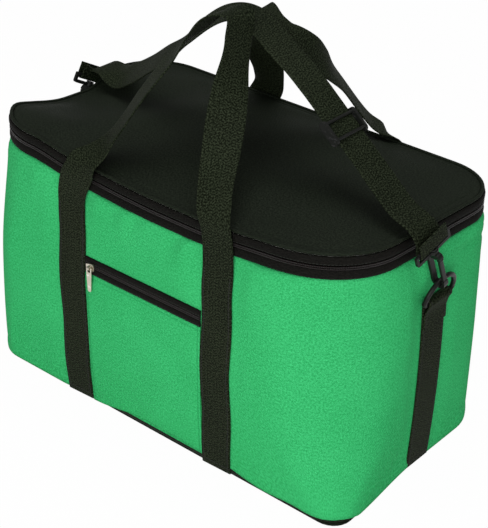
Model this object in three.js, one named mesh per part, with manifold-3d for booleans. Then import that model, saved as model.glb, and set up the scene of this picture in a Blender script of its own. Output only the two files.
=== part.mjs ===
// Insulated food bag with a zipped lid, two carrying handles and a clip-on shoulder strap.
// Millimetres, +Z up. The front faces -Y, and the origin is on the floor under the middle.
import * as THREE from "three";
import { mergeVertices } from "three/addons/utils/BufferGeometryUtils.js";
import Module from "manifold-3d";

const wasm = await Module();
wasm.setup();

// Body
const BODY_LENGTH = 480;
const BODY_DEPTH = 270;
const WALL_HEIGHT = 260;
const BASE_CORNER = 46;
const TOP_CORNER = 82;
const BACK_TOP_CORNER = 60;
const SIDE_BULGE = 5;
const FRONT_BULGE = 5;
const BACK_DROP = 14;
const DROP_FROM = 32.5;
const WALL_LEVELS = 8;
const CORNER_STEPS = 6;

// Layers
const GAP = 0.3;
const FABRIC = 1.2;
const FOAM = 6;
const LINER = 0.8;
const BASE_BOARD = 2.5;
const BASE_BAND = 9;
const RIM_BINDING = 2;

// Lid and its zip
const ZIP_TAPE = 9.4;
const ZIP_COIL = 1.7;
const COIL_PROUD = 0.8;
const LID_DOME = 12;
const PIPING_RADIUS = 1.8;
const HINGE_TAPE = 20;
const HINGE_TAPE_THICK = 1;

// Webbing
const WEB_WIDTH = 38;
const WEB_THICK = 1.8;
const LEG_SPREAD = 98;
const SEWN_BELOW_RIM = 29;
const WEB_FOOT = 1;

// Front pocket
const POCKET_TOP = 163;
const POCKET_TAPE = 7;
const POCKET_COIL_THICK = 1.6;
const POCKET_SLIDER_INSET = 9;

// Zip slider and pull
const SLIDER_LENGTH = 11;
const SLIDER_WIDTH = 9;
const SLIDER_PLATE = 2;
const BAIL_WIDTH = 3;
const BAIL_HOLE = 1.1;
const BAIL_RIM = 1;
const PULL_LENGTH = 28;
const PULL_WIDTH = 7;
const PULL_THICK = 1.2;
const PULL_EYE = 4.4;

// Ring, snap hook and strap loop
const RING_WIRE = 2.8;
const RING_SIDE_PLAY = 4;
const RING_CORNER = 4;
const RING_LEAN = THREE.MathUtils.degToRad(14);
const RING_BELOW_RIM = 55;
const SIDE_SHIFT = 8;
const TAB_TURN_BACK = 30;
const HOOK_EYE = 4.8;
const HOOK_BAR = 3.2;
const HOOK_DEPTH = 6;
const HOOK_PLAY = 0.7;
const HOOK_EYE_RISE = 33;
const HOOK_SHOULDER = 5.7;
const HOOK_NOSE = 3.5;
const RIGHT_HOOK_LEAN = THREE.MathUtils.degToRad(22);
const LEFT_HOOK_LEAN = THREE.MathUtils.degToRad(30);
const GATE_HEAD = 2.4;
const GATE_BAR = 3;
const SWIVEL_PIN = 2.5;
const SWIVEL_HEAD = 4.2;
const SWIVEL_HEAD_THICK = 1.7;
const LOOP_RAIL = 3.2;
const LOOP_FOOT = 3.7;
const LOOP_BOSS = 5;
const LOOP_WINDOW = 5.1;
const STRAP_TURN_BACK = 14;

// Strap slide
const SLIDE_LENGTH = 27;
const SLIDE_BAR = 1.6;
const SLIDE_RAIL = 3.5;

// Colours
const GREEN = 0x34b56c;
const BLACK = 0x20221e;
const WEBBING = 0x2e302a;
const FOAM_WHITE = 0xe6e6e0;
const SILVER = 0xc9ccce;
const PLASTIC = 0x1b1c1c;
const METAL = 0xb9bcbc;
const PULL_METAL = 0xcfc7ae;

// Heights that follow from the layers
const foamFoot = BASE_BAND + GAP;
const foamTop = WALL_HEIGHT - RIM_BINDING;
const lowTape = WALL_HEIGHT + GAP;
const lowCoil = lowTape + ZIP_TAPE + GAP;
const highCoil = lowCoil + ZIP_COIL + GAP;
const highTape = highCoil + ZIP_COIL + GAP;
const lidEdge = highTape + ZIP_TAPE + GAP;
const sewnTop = WALL_HEIGHT - SEWN_BELOW_RIM;
const ringLevel = WALL_HEIGHT - RING_BELOW_RIM;
const foamDepth = FABRIC + GAP;
const linerDepth = foamDepth + FOAM + GAP;
const tapeDepth = 0.2;

// Size of the wall's outline at one height, straight between evenly spaced levels.
function wallLevel(level) {
  const t = level / WALL_LEVELS;
  const swell = 4 * t * (1 - t);
  return {
    halfX: BODY_LENGTH / 2 + SIDE_BULGE * swell,
    halfY: BODY_DEPTH / 2 + FRONT_BULGE * swell,
    corner: BASE_CORNER + (TOP_CORNER - BASE_CORNER) * t,
    backCorner: BASE_CORNER + (BACK_TOP_CORNER - BASE_CORNER) * t,
  };
}

function wallAt(z) {
  const place = THREE.MathUtils.clamp((z / WALL_HEIGHT) * WALL_LEVELS, 0, WALL_LEVELS);
  const below = Math.min(Math.floor(place), WALL_LEVELS - 1);
  const low = wallLevel(below);
  const high = wallLevel(below + 1);
  const mix = (key) => THREE.MathUtils.lerp(low[key], high[key], place - below);
  return { halfX: mix("halfX"), halfY: mix("halfY"), corner: mix("corner"), backCorner: mix("backCorner") };
}

// How far the soft body has settled at a place. Its mouth slopes down from the front to the back.
function sink(y, z) {
  const share = (y + BODY_DEPTH / 2) / BODY_DEPTH;
  const rise = THREE.MathUtils.clamp((z - DROP_FROM) / (WALL_HEIGHT - DROP_FROM), 0, 1);
  return BACK_DROP * share * rise;
}

// The heights from one to another at which the wall changes slope.
function heightsBetween(from, to) {
  const heights = [from];
  for (let level = 1; level < WALL_LEVELS; level += 1) {
    const z = (level * WALL_HEIGHT) / WALL_LEVELS;
    if (z > from + 1 && z < to - 1) heights.push(z);
  }
  heights.push(to);
  return heights;
}

// A point of the wall. Turn 0 to 1 runs along the front, 1 to 2 round the front right corner,
// 2 to 3 along the right side, and so on round to 8. Depth is measured inwards.
function wallPoint(turn, z, depth) {
  const { halfX, halfY, corner, backCorner } = wallAt(z);
  const part = Math.floor(turn) % 8;
  const along = turn - Math.floor(turn);
  const side = Math.floor(part / 2);
  const half = side % 2 === 0 ? halfX : halfY;
  const reach = side % 2 === 0 ? halfY : halfX;
  const cornerBefore = side < 2 ? corner : backCorner;
  const cornerAfter = side === 1 || side === 2 ? backCorner : corner;
  const angle = part % 2 === 0 ? 0 : (along * Math.PI) / 2;
  const flatEnd = half - cornerAfter;
  const slide = part % 2 === 0 ? THREE.MathUtils.lerp(cornerBefore - half, flatEnd, along) : flatEnd;
  const radius = cornerAfter - depth;
  const x = slide + radius * Math.sin(angle);
  const y = -(reach - cornerAfter) - radius * Math.cos(angle);
  const turned = new THREE.Vector2(x, y).rotateAround(new THREE.Vector2(), (side * Math.PI) / 2);
  return new THREE.Vector3(turned.x, turned.y, z - sink(turned.y, z));
}

// The places round the wall from one turn to another that its outline needs.
function turnsBetween(from, to) {
  const turns = [from];
  for (let part = Math.floor(from); part < to; part += 1) {
    const steps = part % 2 === 0 ? 1 : CORNER_STEPS;
    for (let step = 0; step < steps; step += 1) {
      const turn = part + step / steps;
      if (turn > from && turn < to) turns.push(turn);
    }
  }
  turns.push(to);
  return turns;
}

// A closed mesh from triangles of points, facing out.
function closedMesh(triangles) {
  const geometry = new THREE.BufferGeometry();
  const place = (points) => points.flatMap((p) => [p.x, p.y, p.z]);
  let volume = 0;
  for (const [a, b, c] of triangles) volume += a.dot(b.clone().cross(c));
  const ordered = volume > 0 ? triangles : triangles.map(([a, b, c]) => [a, c, b]);
  geometry.setAttribute("position", new THREE.Float32BufferAttribute(ordered.flatMap(place), 3));
  return mergeVertices(geometry, 1e-4);
}

// A solid strip: each section has outer and inner points, and the sections are joined in order.
function strip(sections, closed = false) {
  const triangles = [];
  const quad = (a, b, c, d) => triangles.push([a, b, c], [a, c, d]);
  const last = sections[0].outer.length - 1;
  const count = closed ? sections.length : sections.length - 1;
  for (let i = 0; i < count; i += 1) {
    const here = sections[i];
    const next = sections[(i + 1) % sections.length];
    for (let k = 0; k < last; k += 1) {
      quad(here.outer[k], next.outer[k], next.outer[k + 1], here.outer[k + 1]);
      quad(here.inner[k], here.inner[k + 1], next.inner[k + 1], next.inner[k]);
    }
    quad(here.outer[0], here.inner[0], next.inner[0], next.outer[0]);
    quad(here.outer[last], next.outer[last], next.inner[last], here.inner[last]);
  }
  if (!closed) {
    const first = sections[0];
    const end = sections[sections.length - 1];
    for (let k = 0; k < last; k += 1) {
      quad(first.outer[k], first.outer[k + 1], first.inner[k + 1], first.inner[k]);
      quad(end.outer[k], end.inner[k], end.inner[k + 1], end.outer[k + 1]);
    }
  }
  return closedMesh(triangles);
}

// A layer of the wall between two turns, two heights and two depths.
function wallLayer(from, to, low, high, depth, thick) {
  const closed = to - from === 8;
  const turns = turnsBetween(from, to);
  if (closed) turns.pop();
  const heights = heightsBetween(low, high);
  const sections = turns.map((turn) => ({
    outer: heights.map((z) => wallPoint(turn, z, depth)),
    inner: heights.map((z) => wallPoint(turn, z, depth + thick)),
  }));
  return strip(sections, closed);
}

// A full block inside the wall, for cutting.
function wallBlock(depth, low, high) {
  const turns = turnsBetween(0, 8).slice(0, -1);
  const heights = heightsBetween(low, high);
  const rings = heights.map((z) => turns.map((turn) => wallPoint(turn, z, depth)));
  const triangles = [];
  for (let k = 0; k + 1 < rings.length; k += 1) {
    for (let i = 0; i < turns.length; i += 1) {
      const j = (i + 1) % turns.length;
      triangles.push([rings[k][i], rings[k][j], rings[k + 1][j]]);
      triangles.push([rings[k][i], rings[k + 1][j], rings[k + 1][i]]);
    }
  }
  const top = rings[rings.length - 1];
  for (let i = 1; i + 1 < turns.length; i += 1) {
    triangles.push([rings[0][0], rings[0][i + 1], rings[0][i]]);
    triangles.push([top[0], top[i], top[i + 1]]);
  }
  return closedMesh(triangles);
}

// A slab with the wall's outline at one height, between two surfaces over the plan.
function slab(height, depth, top, bottom) {
  const { halfX, halfY, corner, backCorner } = wallAt(height);
  const quarter = (round) => {
    const points = [];
    for (let step = 0; step <= CORNER_STEPS; step += 1) {
      const angle = (step / CORNER_STEPS) * (Math.PI / 2);
      const x = halfX - round + (round - depth) * Math.cos(angle);
      points.push([x, halfY - round + (round - depth) * Math.sin(angle)]);
    }
    return points;
  };
  const reachAt = (points, x) => {
    for (let i = 1; i < points.length; i += 1) {
      const [outerX, outerY] = points[i - 1];
      const [innerX, innerY] = points[i];
      if (x >= innerX) return THREE.MathUtils.mapLinear(x, outerX, innerX, outerY, innerY);
    }
    return halfY - depth;
  };
  const front = quarter(corner);
  const back = quarter(backCorner);
  const places = [...front, ...back].map(([x]) => x);
  places.push(0.2 * (halfX - corner), 0.6 * (halfX - corner));
  places.sort((a, b) => a - b);
  const right = places.filter((x, i) => i === places.length - 1 || places[i + 1] - x > 0.2);
  const stations = [...right.map((x) => -x).reverse(), ...right];
  const across = [-1, -0.75, -0.5, -0.2, 0.2, 0.5, 0.75, 1];
  const sections = stations.map((x) => {
    const ys = across.map((share) => share * reachAt(share < 0 ? front : back, Math.abs(x)));
    return {
      outer: ys.map((y) => new THREE.Vector3(x, y, top(x, y))),
      inner: ys.map((y) => new THREE.Vector3(x, y, bottom(x, y))),
    };
  });
  return strip(sections);
}

// A flat band along points, with its width in a given direction at each of them.
function ribbon(points, widthDirection, width = WEB_WIDTH, thick = WEB_THICK) {
  const sections = points.map((point, i) => {
    const before = points[Math.max(i - 1, 0)];
    const after = points[Math.min(i + 1, points.length - 1)];
    const tangent = after.clone().sub(before).normalize();
    const wide = widthDirection(i / (points.length - 1)).clone();
    wide.addScaledVector(tangent, -wide.dot(tangent)).setLength(width / 2);
    const normal = tangent.cross(wide).setLength(thick / 2);
    const at = (side, face) => point.clone().addScaledVector(wide, side).addScaledVector(normal, face);
    return { outer: [at(-1, 1), at(1, 1)], inner: [at(-1, -1), at(1, -1)] };
  });
  return strip(sections);
}

const alongX = () => new THREE.Vector3(1, 0, 0);
const alongY = () => new THREE.Vector3(0, 1, 0);

// A band sewn to the front (side -1) or the back (side 1) wall.
function frontRun(side, x, width, low, high, offset, thick) {
  const points = heightsBetween(low, high).map((z) => {
    const y = side * (wallAt(z).halfY + offset + thick / 2);
    return new THREE.Vector3(x, y, side > 0 ? z - sink(y, z) : z);
  });
  return ribbon(points, alongX, width, thick);
}

// A round bar along a closed flat loop of points.
function closedTube(points, radius, sides, planeNormal) {
  const rings = points.map((point, i) => {
    const before = points[(i + points.length - 1) % points.length];
    const after = points[(i + 1) % points.length];
    const out = after.clone().sub(before).cross(planeNormal).normalize();
    const ring = [];
    for (let k = 0; k < sides; k += 1) {
      const angle = (k / sides) * 2 * Math.PI;
      const offset = out.clone().multiplyScalar(radius * Math.cos(angle));
      ring.push(point.clone().add(offset).addScaledVector(planeNormal, radius * Math.sin(angle)));
    }
    return ring;
  });
  const triangles = [];
  rings.forEach((ring, i) => {
    const next = rings[(i + 1) % rings.length];
    ring.forEach((point, k) => {
      const m = (k + 1) % sides;
      triangles.push([point, next[k], next[m]], [point, next[m], ring[m]]);
    });
  });
  return closedMesh(triangles);
}

// A flat shape made thick, with its middle plane at zero.
function plate(shape, thick, curveSegments = 6) {
  const geometry = new THREE.ExtrudeGeometry(shape, { depth: thick, bevelEnabled: false, curveSegments });
  return geometry.translate(0, 0, -thick / 2);
}

function toSolid(geometry) {
  const bare = geometry.clone();
  bare.deleteAttribute("normal");
  bare.deleteAttribute("uv");
  const merged = mergeVertices(bare, 1e-4);
  return new wasm.Manifold(
    new wasm.Mesh({
      numProp: 3,
      vertProperties: new Float32Array(merged.attributes.position.array),
      triVerts: new Uint32Array(merged.index.array),
    }),
  );
}

function toGeometry(solid) {
  const mesh = solid.getMesh();
  const geometry = new THREE.BufferGeometry();
  geometry.setAttribute("position", new THREE.Float32BufferAttribute(mesh.vertProperties, 3));
  geometry.setIndex(new THREE.Uint32BufferAttribute(mesh.triVerts, 1));
  return geometry;
}

function join(...geometries) {
  return toGeometry(geometries.map(toSolid).reduce((a, b) => a.add(b)));
}

function cut(geometry, ...tools) {
  return toGeometry(tools.map(toSolid).reduce((a, b) => a.subtract(b), toSolid(geometry)));
}

const bag = new THREE.Group();

function addTo(group, name, geometry, color, roughness = 0.85, metalness = 0) {
  const material = new THREE.MeshStandardMaterial({ color, roughness, metalness });
  const mesh = new THREE.Mesh(geometry, material);
  mesh.name = name;
  group.add(mesh);
  return mesh;
}

const add = (...details) => addTo(bag, ...details);

// Base, walls and lining
function addBody() {
  const flat = (z) => () => z;
  add("base_panel", slab(0, 0, flat(BASE_BOARD), flat(0)), BLACK);
  add("base_band", wallLayer(0, 8, BASE_BOARD + GAP, BASE_BAND, 0, FABRIC), BLACK);
  const baseFoamLow = BASE_BOARD + GAP;
  add("base_foam", slab(0, foamDepth, flat(BASE_BAND), flat(baseFoamLow)), FOAM_WHITE);
  add("outer_shell", wallLayer(0, 8, foamFoot, WALL_HEIGHT, 0, FABRIC), GREEN);
  const panels = { front: [0, 1], right: [1, 4], back: [4, 5], left: [5, 8] };
  for (const [side, [from, to]] of Object.entries(panels)) {
    const joint = side === "front" || side === "back" ? 0.002 : 0;
    const layer = wallLayer(from + joint, to - joint, foamFoot, foamTop, foamDepth, FOAM);
    add(`${side}_foam`, layer, FOAM_WHITE);
  }
  const tub = cut(
    wallBlock(linerDepth, foamFoot, foamTop),
    wallBlock(linerDepth + LINER, foamFoot + LINER, WALL_HEIGHT),
  );
  add("liner", tub, SILVER, 0.35, 0.6);
  const bindingThick = FOAM + GAP + LINER;
  add("rim_binding", wallLayer(0, 8, foamTop + GAP, WALL_HEIGHT, foamDepth, bindingThick), BLACK);
}

// Zip round the mouth. It runs from one rear corner round the front to the other.
function addMouthZip() {
  const coilThick = FABRIC + COIL_PROUD;
  add("lower_zip_tape", wallLayer(0, 8, lowTape, lowTape + ZIP_TAPE, tapeDepth, FABRIC), BLACK);
  const coilAt = (low) => wallLayer(5, 12, low, low + ZIP_COIL, -COIL_PROUD, coilThick);
  add("lower_zip_coil", coilAt(lowCoil), PLASTIC, 0.5);
  add("upper_zip_coil", coilAt(highCoil), PLASTIC, 0.5);
  add("upper_zip_tape", wallLayer(0, 8, highTape, highTape + ZIP_TAPE, tapeDepth, FABRIC), BLACK);
  const hingeMiddle = highCoil - GAP / 2;
  const hingeLow = hingeMiddle - HINGE_TAPE / 2;
  const hingeDepth = -GAP - HINGE_TAPE_THICK;
  const hinge = wallLayer(4, 5, hingeLow, hingeLow + HINGE_TAPE, hingeDepth, HINGE_TAPE_THICK);
  add("hinge_tape", hinge, BLACK);
}

// Padded lid, slightly domed, with a piped edge
function addLid() {
  const coverDepth = tapeDepth + 2 * PIPING_RADIUS + GAP;
  const dome = (x, y) => {
    const shareX = x / (BODY_LENGTH / 2 - coverDepth);
    const shareY = y / (BODY_DEPTH / 2 - coverDepth);
    return LID_DOME * Math.max(0, 1 - Math.sqrt(shareX ** 4 + shareY ** 4));
  };
  const surface = (z) => (x, y) => z + dome(x, y) - sink(y, WALL_HEIGHT);
  const padTop = lidEdge - GAP;
  const linerTop = padTop - FOAM - GAP;
  add("lid_cover", slab(WALL_HEIGHT, coverDepth, surface(lidEdge + FABRIC), surface(lidEdge)), BLACK);
  add("lid_foam", slab(WALL_HEIGHT, coverDepth, surface(padTop), surface(padTop - FOAM)), FOAM_WHITE);
  const lining = slab(WALL_HEIGHT, coverDepth, surface(linerTop), surface(linerTop - LINER));
  add("lid_liner", lining, SILVER, 0.35, 0.6);
  const turns = turnsBetween(0, 8).slice(0, -1);
  const edge = turns.map((turn) => wallPoint(turn, WALL_HEIGHT, tapeDepth + PIPING_RADIUS));
  edge.forEach((point) => point.setZ(lidEdge + PIPING_RADIUS - sink(point.y, WALL_HEIGHT)));
  add("lid_piping", closedTube(edge, PIPING_RADIUS, 6, new THREE.Vector3(0, 0, 1)), BLACK);
}

// Webbing sewn to the long walls, and the two loops that grow out of it
function addHandles() {
  for (const [wall, side] of [["front", -1], ["back", 1]]) {
    for (const [hand, x] of [["left", -LEG_SPREAD], ["right", LEG_SPREAD]]) {
      const run = frontRun(side, x, WEB_WIDTH, WEB_FOOT, sewnTop - GAP / 2, GAP, WEB_THICK);
      add(`${wall}_${hand}_webbing`, run, WEBBING);
    }
  }
  const footY = wallAt(sewnTop).halfY + GAP + WEB_THICK / 2;
  const foot = sewnTop + GAP / 2;
  const backFoot = foot - sink(footY, sewnTop);
  // A place on a loop: across the bag, in from the wall's plane, and above the rim
  const over = (side, x, inset, rise) => [x, side * (BODY_DEPTH / 2 - inset), WALL_HEIGHT + rise];
  const frontRoute = [
    [LEG_SPREAD, -footY, foot],
    [LEG_SPREAD, -footY, foot + 16],
    [LEG_SPREAD - 1, -footY, foot + 34],
    [LEG_SPREAD - 4, -footY, WALL_HEIGHT + 26],
    over(-1, LEG_SPREAD - 13, 7, 42),
    over(-1, LEG_SPREAD - 28, 37, 75),
    over(-1, 47, 84, 130),
    over(-1, 33, 97, 159),
    over(-1, 13, 101, 177),
    over(-1, -9, 94, 164),
    over(-1, -30, 71, 128),
    over(-1, -50, 37, 74),
    over(-1, -LEG_SPREAD + 26, 7, 42),
    [-LEG_SPREAD + 9, -footY, WALL_HEIGHT + 25],
    [-LEG_SPREAD + 1, -footY, foot + 30],
    [-LEG_SPREAD, -footY, foot + 14],
    [-LEG_SPREAD, -footY, foot],
  ];
  const backRoute = [
    [LEG_SPREAD, footY, backFoot],
    [LEG_SPREAD, footY, backFoot + 16],
    [LEG_SPREAD - 1, footY, backFoot + 34],
    [LEG_SPREAD - 5, footY, WALL_HEIGHT + 14],
    over(1, LEG_SPREAD - 17, 7, 30),
    over(1, 58, 38, 73),
    over(1, 45, 65, 108),
    over(1, 36, 91, 142),
    over(1, 14, 109, 164),
    over(1, -10, 99, 152),
    over(1, -32, 73, 118),
    over(1, -58, 35, 68),
    over(1, -LEG_SPREAD + 18, 7, 30),
    [-LEG_SPREAD + 5, footY, WALL_HEIGHT + 14],
    [-LEG_SPREAD + 1, footY, backFoot + 34],
    [-LEG_SPREAD, footY, backFoot + 16],
    [-LEG_SPREAD, footY, backFoot],
  ];
  add("front_handle_loop", handleLoop(frontRoute, 1), WEBBING);
  add("back_handle_loop", handleLoop(backRoute, -1), WEBBING);
}

// A loop of webbing. It lies flat on the wall at both ends and turns edge-on to it at the top.
function handleLoop(route, facing) {
  const curve = new THREE.CatmullRomCurve3(route.map((p) => new THREE.Vector3(...p)));
  const widthDirection = (share) => {
    const rise = THREE.MathUtils.smoothstep(share, 0.13, 0.42);
    const fall = THREE.MathUtils.smoothstep(share, 0.58, 0.87);
    const angle = ((rise + fall) * Math.PI) / 2;
    return new THREE.Vector3(facing * Math.cos(angle), Math.sin(angle), 0);
  };
  return ribbon(curve.getSpacedPoints(48), widthDirection);
}

// Pocket on the front wall, between the handle's legs, with its own zip
function addPocket() {
  const halfWidth = LEG_SPREAD - WEB_WIDTH / 2 - 2 * GAP;
  const width = 2 * halfWidth;
  const coilLow = POCKET_TOP + GAP + POCKET_TAPE + GAP;
  const coilHigh = coilLow + ZIP_COIL + GAP;
  const tapeHigh = coilHigh + ZIP_COIL + GAP;
  const run = (low, high, thick) => frontRun(-1, 0, width, low, high, GAP, thick);
  add("pocket_panel", run(WEB_FOOT, POCKET_TOP, FABRIC), GREEN);
  add("pocket_lower_tape", run(POCKET_TOP + GAP, coilLow - GAP, FABRIC), BLACK);
  add("pocket_lower_coil", run(coilLow, coilLow + ZIP_COIL, POCKET_COIL_THICK), PLASTIC, 0.5);
  add("pocket_upper_coil", run(coilHigh, coilHigh + ZIP_COIL, POCKET_COIL_THICK), PLASTIC, 0.5);
  add("pocket_upper_tape", run(tapeHigh, tapeHigh + POCKET_TAPE, FABRIC), BLACK);
  const middle = coilHigh - GAP / 2;
  const face = wallAt(middle).halfY + GAP + POCKET_COIL_THICK + GAP;
  const group = new THREE.Group();
  group.position.set(-halfWidth + POCKET_SLIDER_INSET, -face, middle);
  bag.add(group);
  addSlider(group, "pocket_zip");
}

// A zip slider with a pull hanging in its bail. In its group +X runs along the zip, -Y faces out.
function addSlider(group, name) {
  const bailOut = SLIDER_PLATE + PULL_THICK / 2 + 0.8;
  const bailRadius = BAIL_HOLE + BAIL_RIM;
  const half = SLIDER_WIDTH / 2;
  const body = new THREE.Shape();
  body.moveTo(-SLIDER_LENGTH / 2, -half * 0.6);
  body.lineTo(SLIDER_LENGTH * 0.2, -half);
  body.quadraticCurveTo(SLIDER_LENGTH / 2, -half, SLIDER_LENGTH / 2, 0);
  body.quadraticCurveTo(SLIDER_LENGTH / 2, half, SLIDER_LENGTH * 0.2, half);
  body.lineTo(-SLIDER_LENGTH / 2, half * 0.6);
  body.closePath();
  const plateBody = plate(body, SLIDER_PLATE).rotateX(Math.PI / 2).translate(0, -SLIDER_PLATE / 2, 0);
  const bail = new THREE.Shape();
  bail.moveTo(SLIDER_PLATE / 2, -bailRadius);
  bail.lineTo(bailOut, -bailRadius);
  bail.absarc(bailOut, 0, bailRadius, -Math.PI / 2, Math.PI / 2, false);
  bail.lineTo(SLIDER_PLATE / 2, bailRadius);
  bail.closePath();
  const hole = new THREE.Path();
  hole.absarc(bailOut, 0, BAIL_HOLE, 0, 2 * Math.PI, true);
  bail.holes.push(hole);
  const bailBody = plate(bail, BAIL_WIDTH).applyMatrix4(
    new THREE.Matrix4().makeBasis(
      new THREE.Vector3(0, -1, 0),
      new THREE.Vector3(0, 0, 1),
      new THREE.Vector3(-1, 0, 0),
    ),
  );
  addTo(group, `${name}_slider`, join(plateBody, bailBody), METAL, 0.4, 0.9);
  const pin = PULL_THICK / 2;
  const eyeHalf = BAIL_WIDTH / 2 + 0.5;
  const pull = new THREE.Shape();
  pull.moveTo(-PULL_WIDTH / 2, pin);
  pull.lineTo(-PULL_WIDTH / 2, -PULL_EYE - 4);
  pull.lineTo(-PULL_WIDTH * 0.36, -PULL_LENGTH + 3);
  pull.quadraticCurveTo(-PULL_WIDTH * 0.36, -PULL_LENGTH, 0, -PULL_LENGTH);
  pull.quadraticCurveTo(PULL_WIDTH * 0.36, -PULL_LENGTH, PULL_WIDTH * 0.36, -PULL_LENGTH + 3);
  pull.lineTo(PULL_WIDTH / 2, -PULL_EYE - 4);
  pull.lineTo(PULL_WIDTH / 2, pin);
  pull.closePath();
  const eye = new THREE.Path();
  eye.moveTo(-eyeHalf, -pin);
  eye.lineTo(eyeHalf, -pin);
  eye.lineTo(eyeHalf, -pin - PULL_EYE);
  eye.lineTo(-eyeHalf, -pin - PULL_EYE);
  eye.closePath();
  pull.holes.push(eye);
  const pullBody = plate(pull, PULL_THICK).rotateX(Math.PI / 2).translate(0, -bailOut, 0);
  addTo(group, `${name}_pull`, pullBody, PULL_METAL, 0.4, 0.9);
}

// Slider of the mouth zip, parked at the rear end of the left side, in the plane of the mouth
function addMouthSlider() {
  const { halfX, halfY, backCorner } = wallAt(WALL_HEIGHT);
  const mouth = new THREE.Group();
  mouth.position.set(0, -BODY_DEPTH / 2, highCoil - GAP / 2);
  mouth.rotation.x = -Math.atan(BACK_DROP / BODY_DEPTH);
  const group = new THREE.Group();
  group.position.set(-halfX - COIL_PROUD - GAP, BODY_DEPTH / 2 + halfY - backCorner, 0);
  group.rotation.z = -Math.PI / 2;
  mouth.add(group);
  bag.add(mouth);
  addSlider(group, "lid_zip");
}

// Where the ring, the hook and the strap loop stand on the right side
const ringPivotX = wallAt(ringLevel).halfX + GAP + WEB_THICK + GAP + RING_WIRE;
const ringHalf = WEB_WIDTH / 2 + RING_SIDE_PLAY;
const ringHeight = ringHalf + RING_CORNER;
const ringTopX = ringPivotX + ringHeight * Math.sin(RING_LEAN);
const ringPivotZ = ringLevel - sink(SIDE_SHIFT, ringLevel);
const ringTopZ = ringPivotZ + ringHeight * Math.cos(RING_LEAN);
const hookCentreZ = ringTopZ - RING_WIRE - HOOK_PLAY + HOOK_EYE;
const eyeTop = hookCentreZ + HOOK_EYE_RISE;
const shoulderTop = eyeTop + HOOK_SHOULDER;
const loopFoot = shoulderTop + GAP;
const swivelHead = loopFoot + LOOP_FOOT + GAP;
const railLow = loopFoot + LOOP_FOOT + LOOP_WINDOW;
const railMiddle = railLow + LOOP_RAIL / 2;
const railTurn = LOOP_RAIL * Math.SQRT1_2 + GAP + WEB_THICK / 2;

// Points on part of a circle in the XZ plane
function arcPoints(x, z, radius, from, to, steps) {
  const points = [];
  for (let step = 0; step <= steps; step += 1) {
    const angle = THREE.MathUtils.degToRad(from + ((to - from) * step) / steps);
    points.push(new THREE.Vector3(x + radius * Math.cos(angle), 0, z + radius * Math.sin(angle)));
  }
  return points;
}

// Webbing up the side wall, round the ring's straight bar and back down on itself
function ringTab() {
  const turn = RING_WIRE + GAP + WEB_THICK / 2;
  const lift = GAP + WEB_THICK / 2;
  const onWall = (z, out) => new THREE.Vector3(wallAt(z).halfX + out, 0, z - sink(SIDE_SHIFT, z));
  const points = heightsBetween(WEB_FOOT, ringLevel - 4).map((z) => onWall(z, lift));
  points.push(...arcPoints(ringPivotX, ringPivotZ, turn, 180, -24, 9));
  const doubled = lift + WEB_THICK + GAP;
  points.push(onWall(ringLevel - 7, doubled + RING_WIRE - 0.4));
  points.push(onWall(ringLevel - 15, doubled));
  points.push(onWall(ringLevel - TAB_TURN_BACK, doubled));
  return ribbon(points, alongY);
}

function ringLoop() {
  const shape = new THREE.Shape();
  const half = ringHalf;
  shape.moveTo(-half + RING_CORNER, 0);
  shape.lineTo(half - RING_CORNER, 0);
  shape.absarc(half - RING_CORNER, RING_CORNER, RING_CORNER, -Math.PI / 2, 0, false);
  shape.absarc(0, RING_CORNER, half, 0, Math.PI, false);
  shape.absarc(-half + RING_CORNER, RING_CORNER, RING_CORNER, Math.PI, 1.5 * Math.PI, false);
  const flat = shape.getPoints(8).filter((p, i, all) => i === 0 || p.distanceTo(all[i - 1]) > 0.1);
  if (flat[flat.length - 1].distanceTo(flat[0]) < 0.1) flat.pop();
  const points = flat.map((p) => new THREE.Vector3(0, p.x, p.y));
  const loop = closedTube(points, RING_WIRE, 8, new THREE.Vector3(1, 0, 0));
  return loop.rotateY(RING_LEAN).translate(ringPivotX, 0, ringPivotZ);
}

// The gate's hinge, in the hook's own plane: across from the eye's middle, and height
const gateAcross = HOOK_EYE + HOOK_BAR / 2;
const gateHeight = eyeTop - 1.3;

// Turns a flat shape (across, height) into the XZ plane of the hook.
function inHookPlane(geometry) {
  return geometry.rotateX(Math.PI / 2).translate(ringTopX, 0, 0);
}

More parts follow.
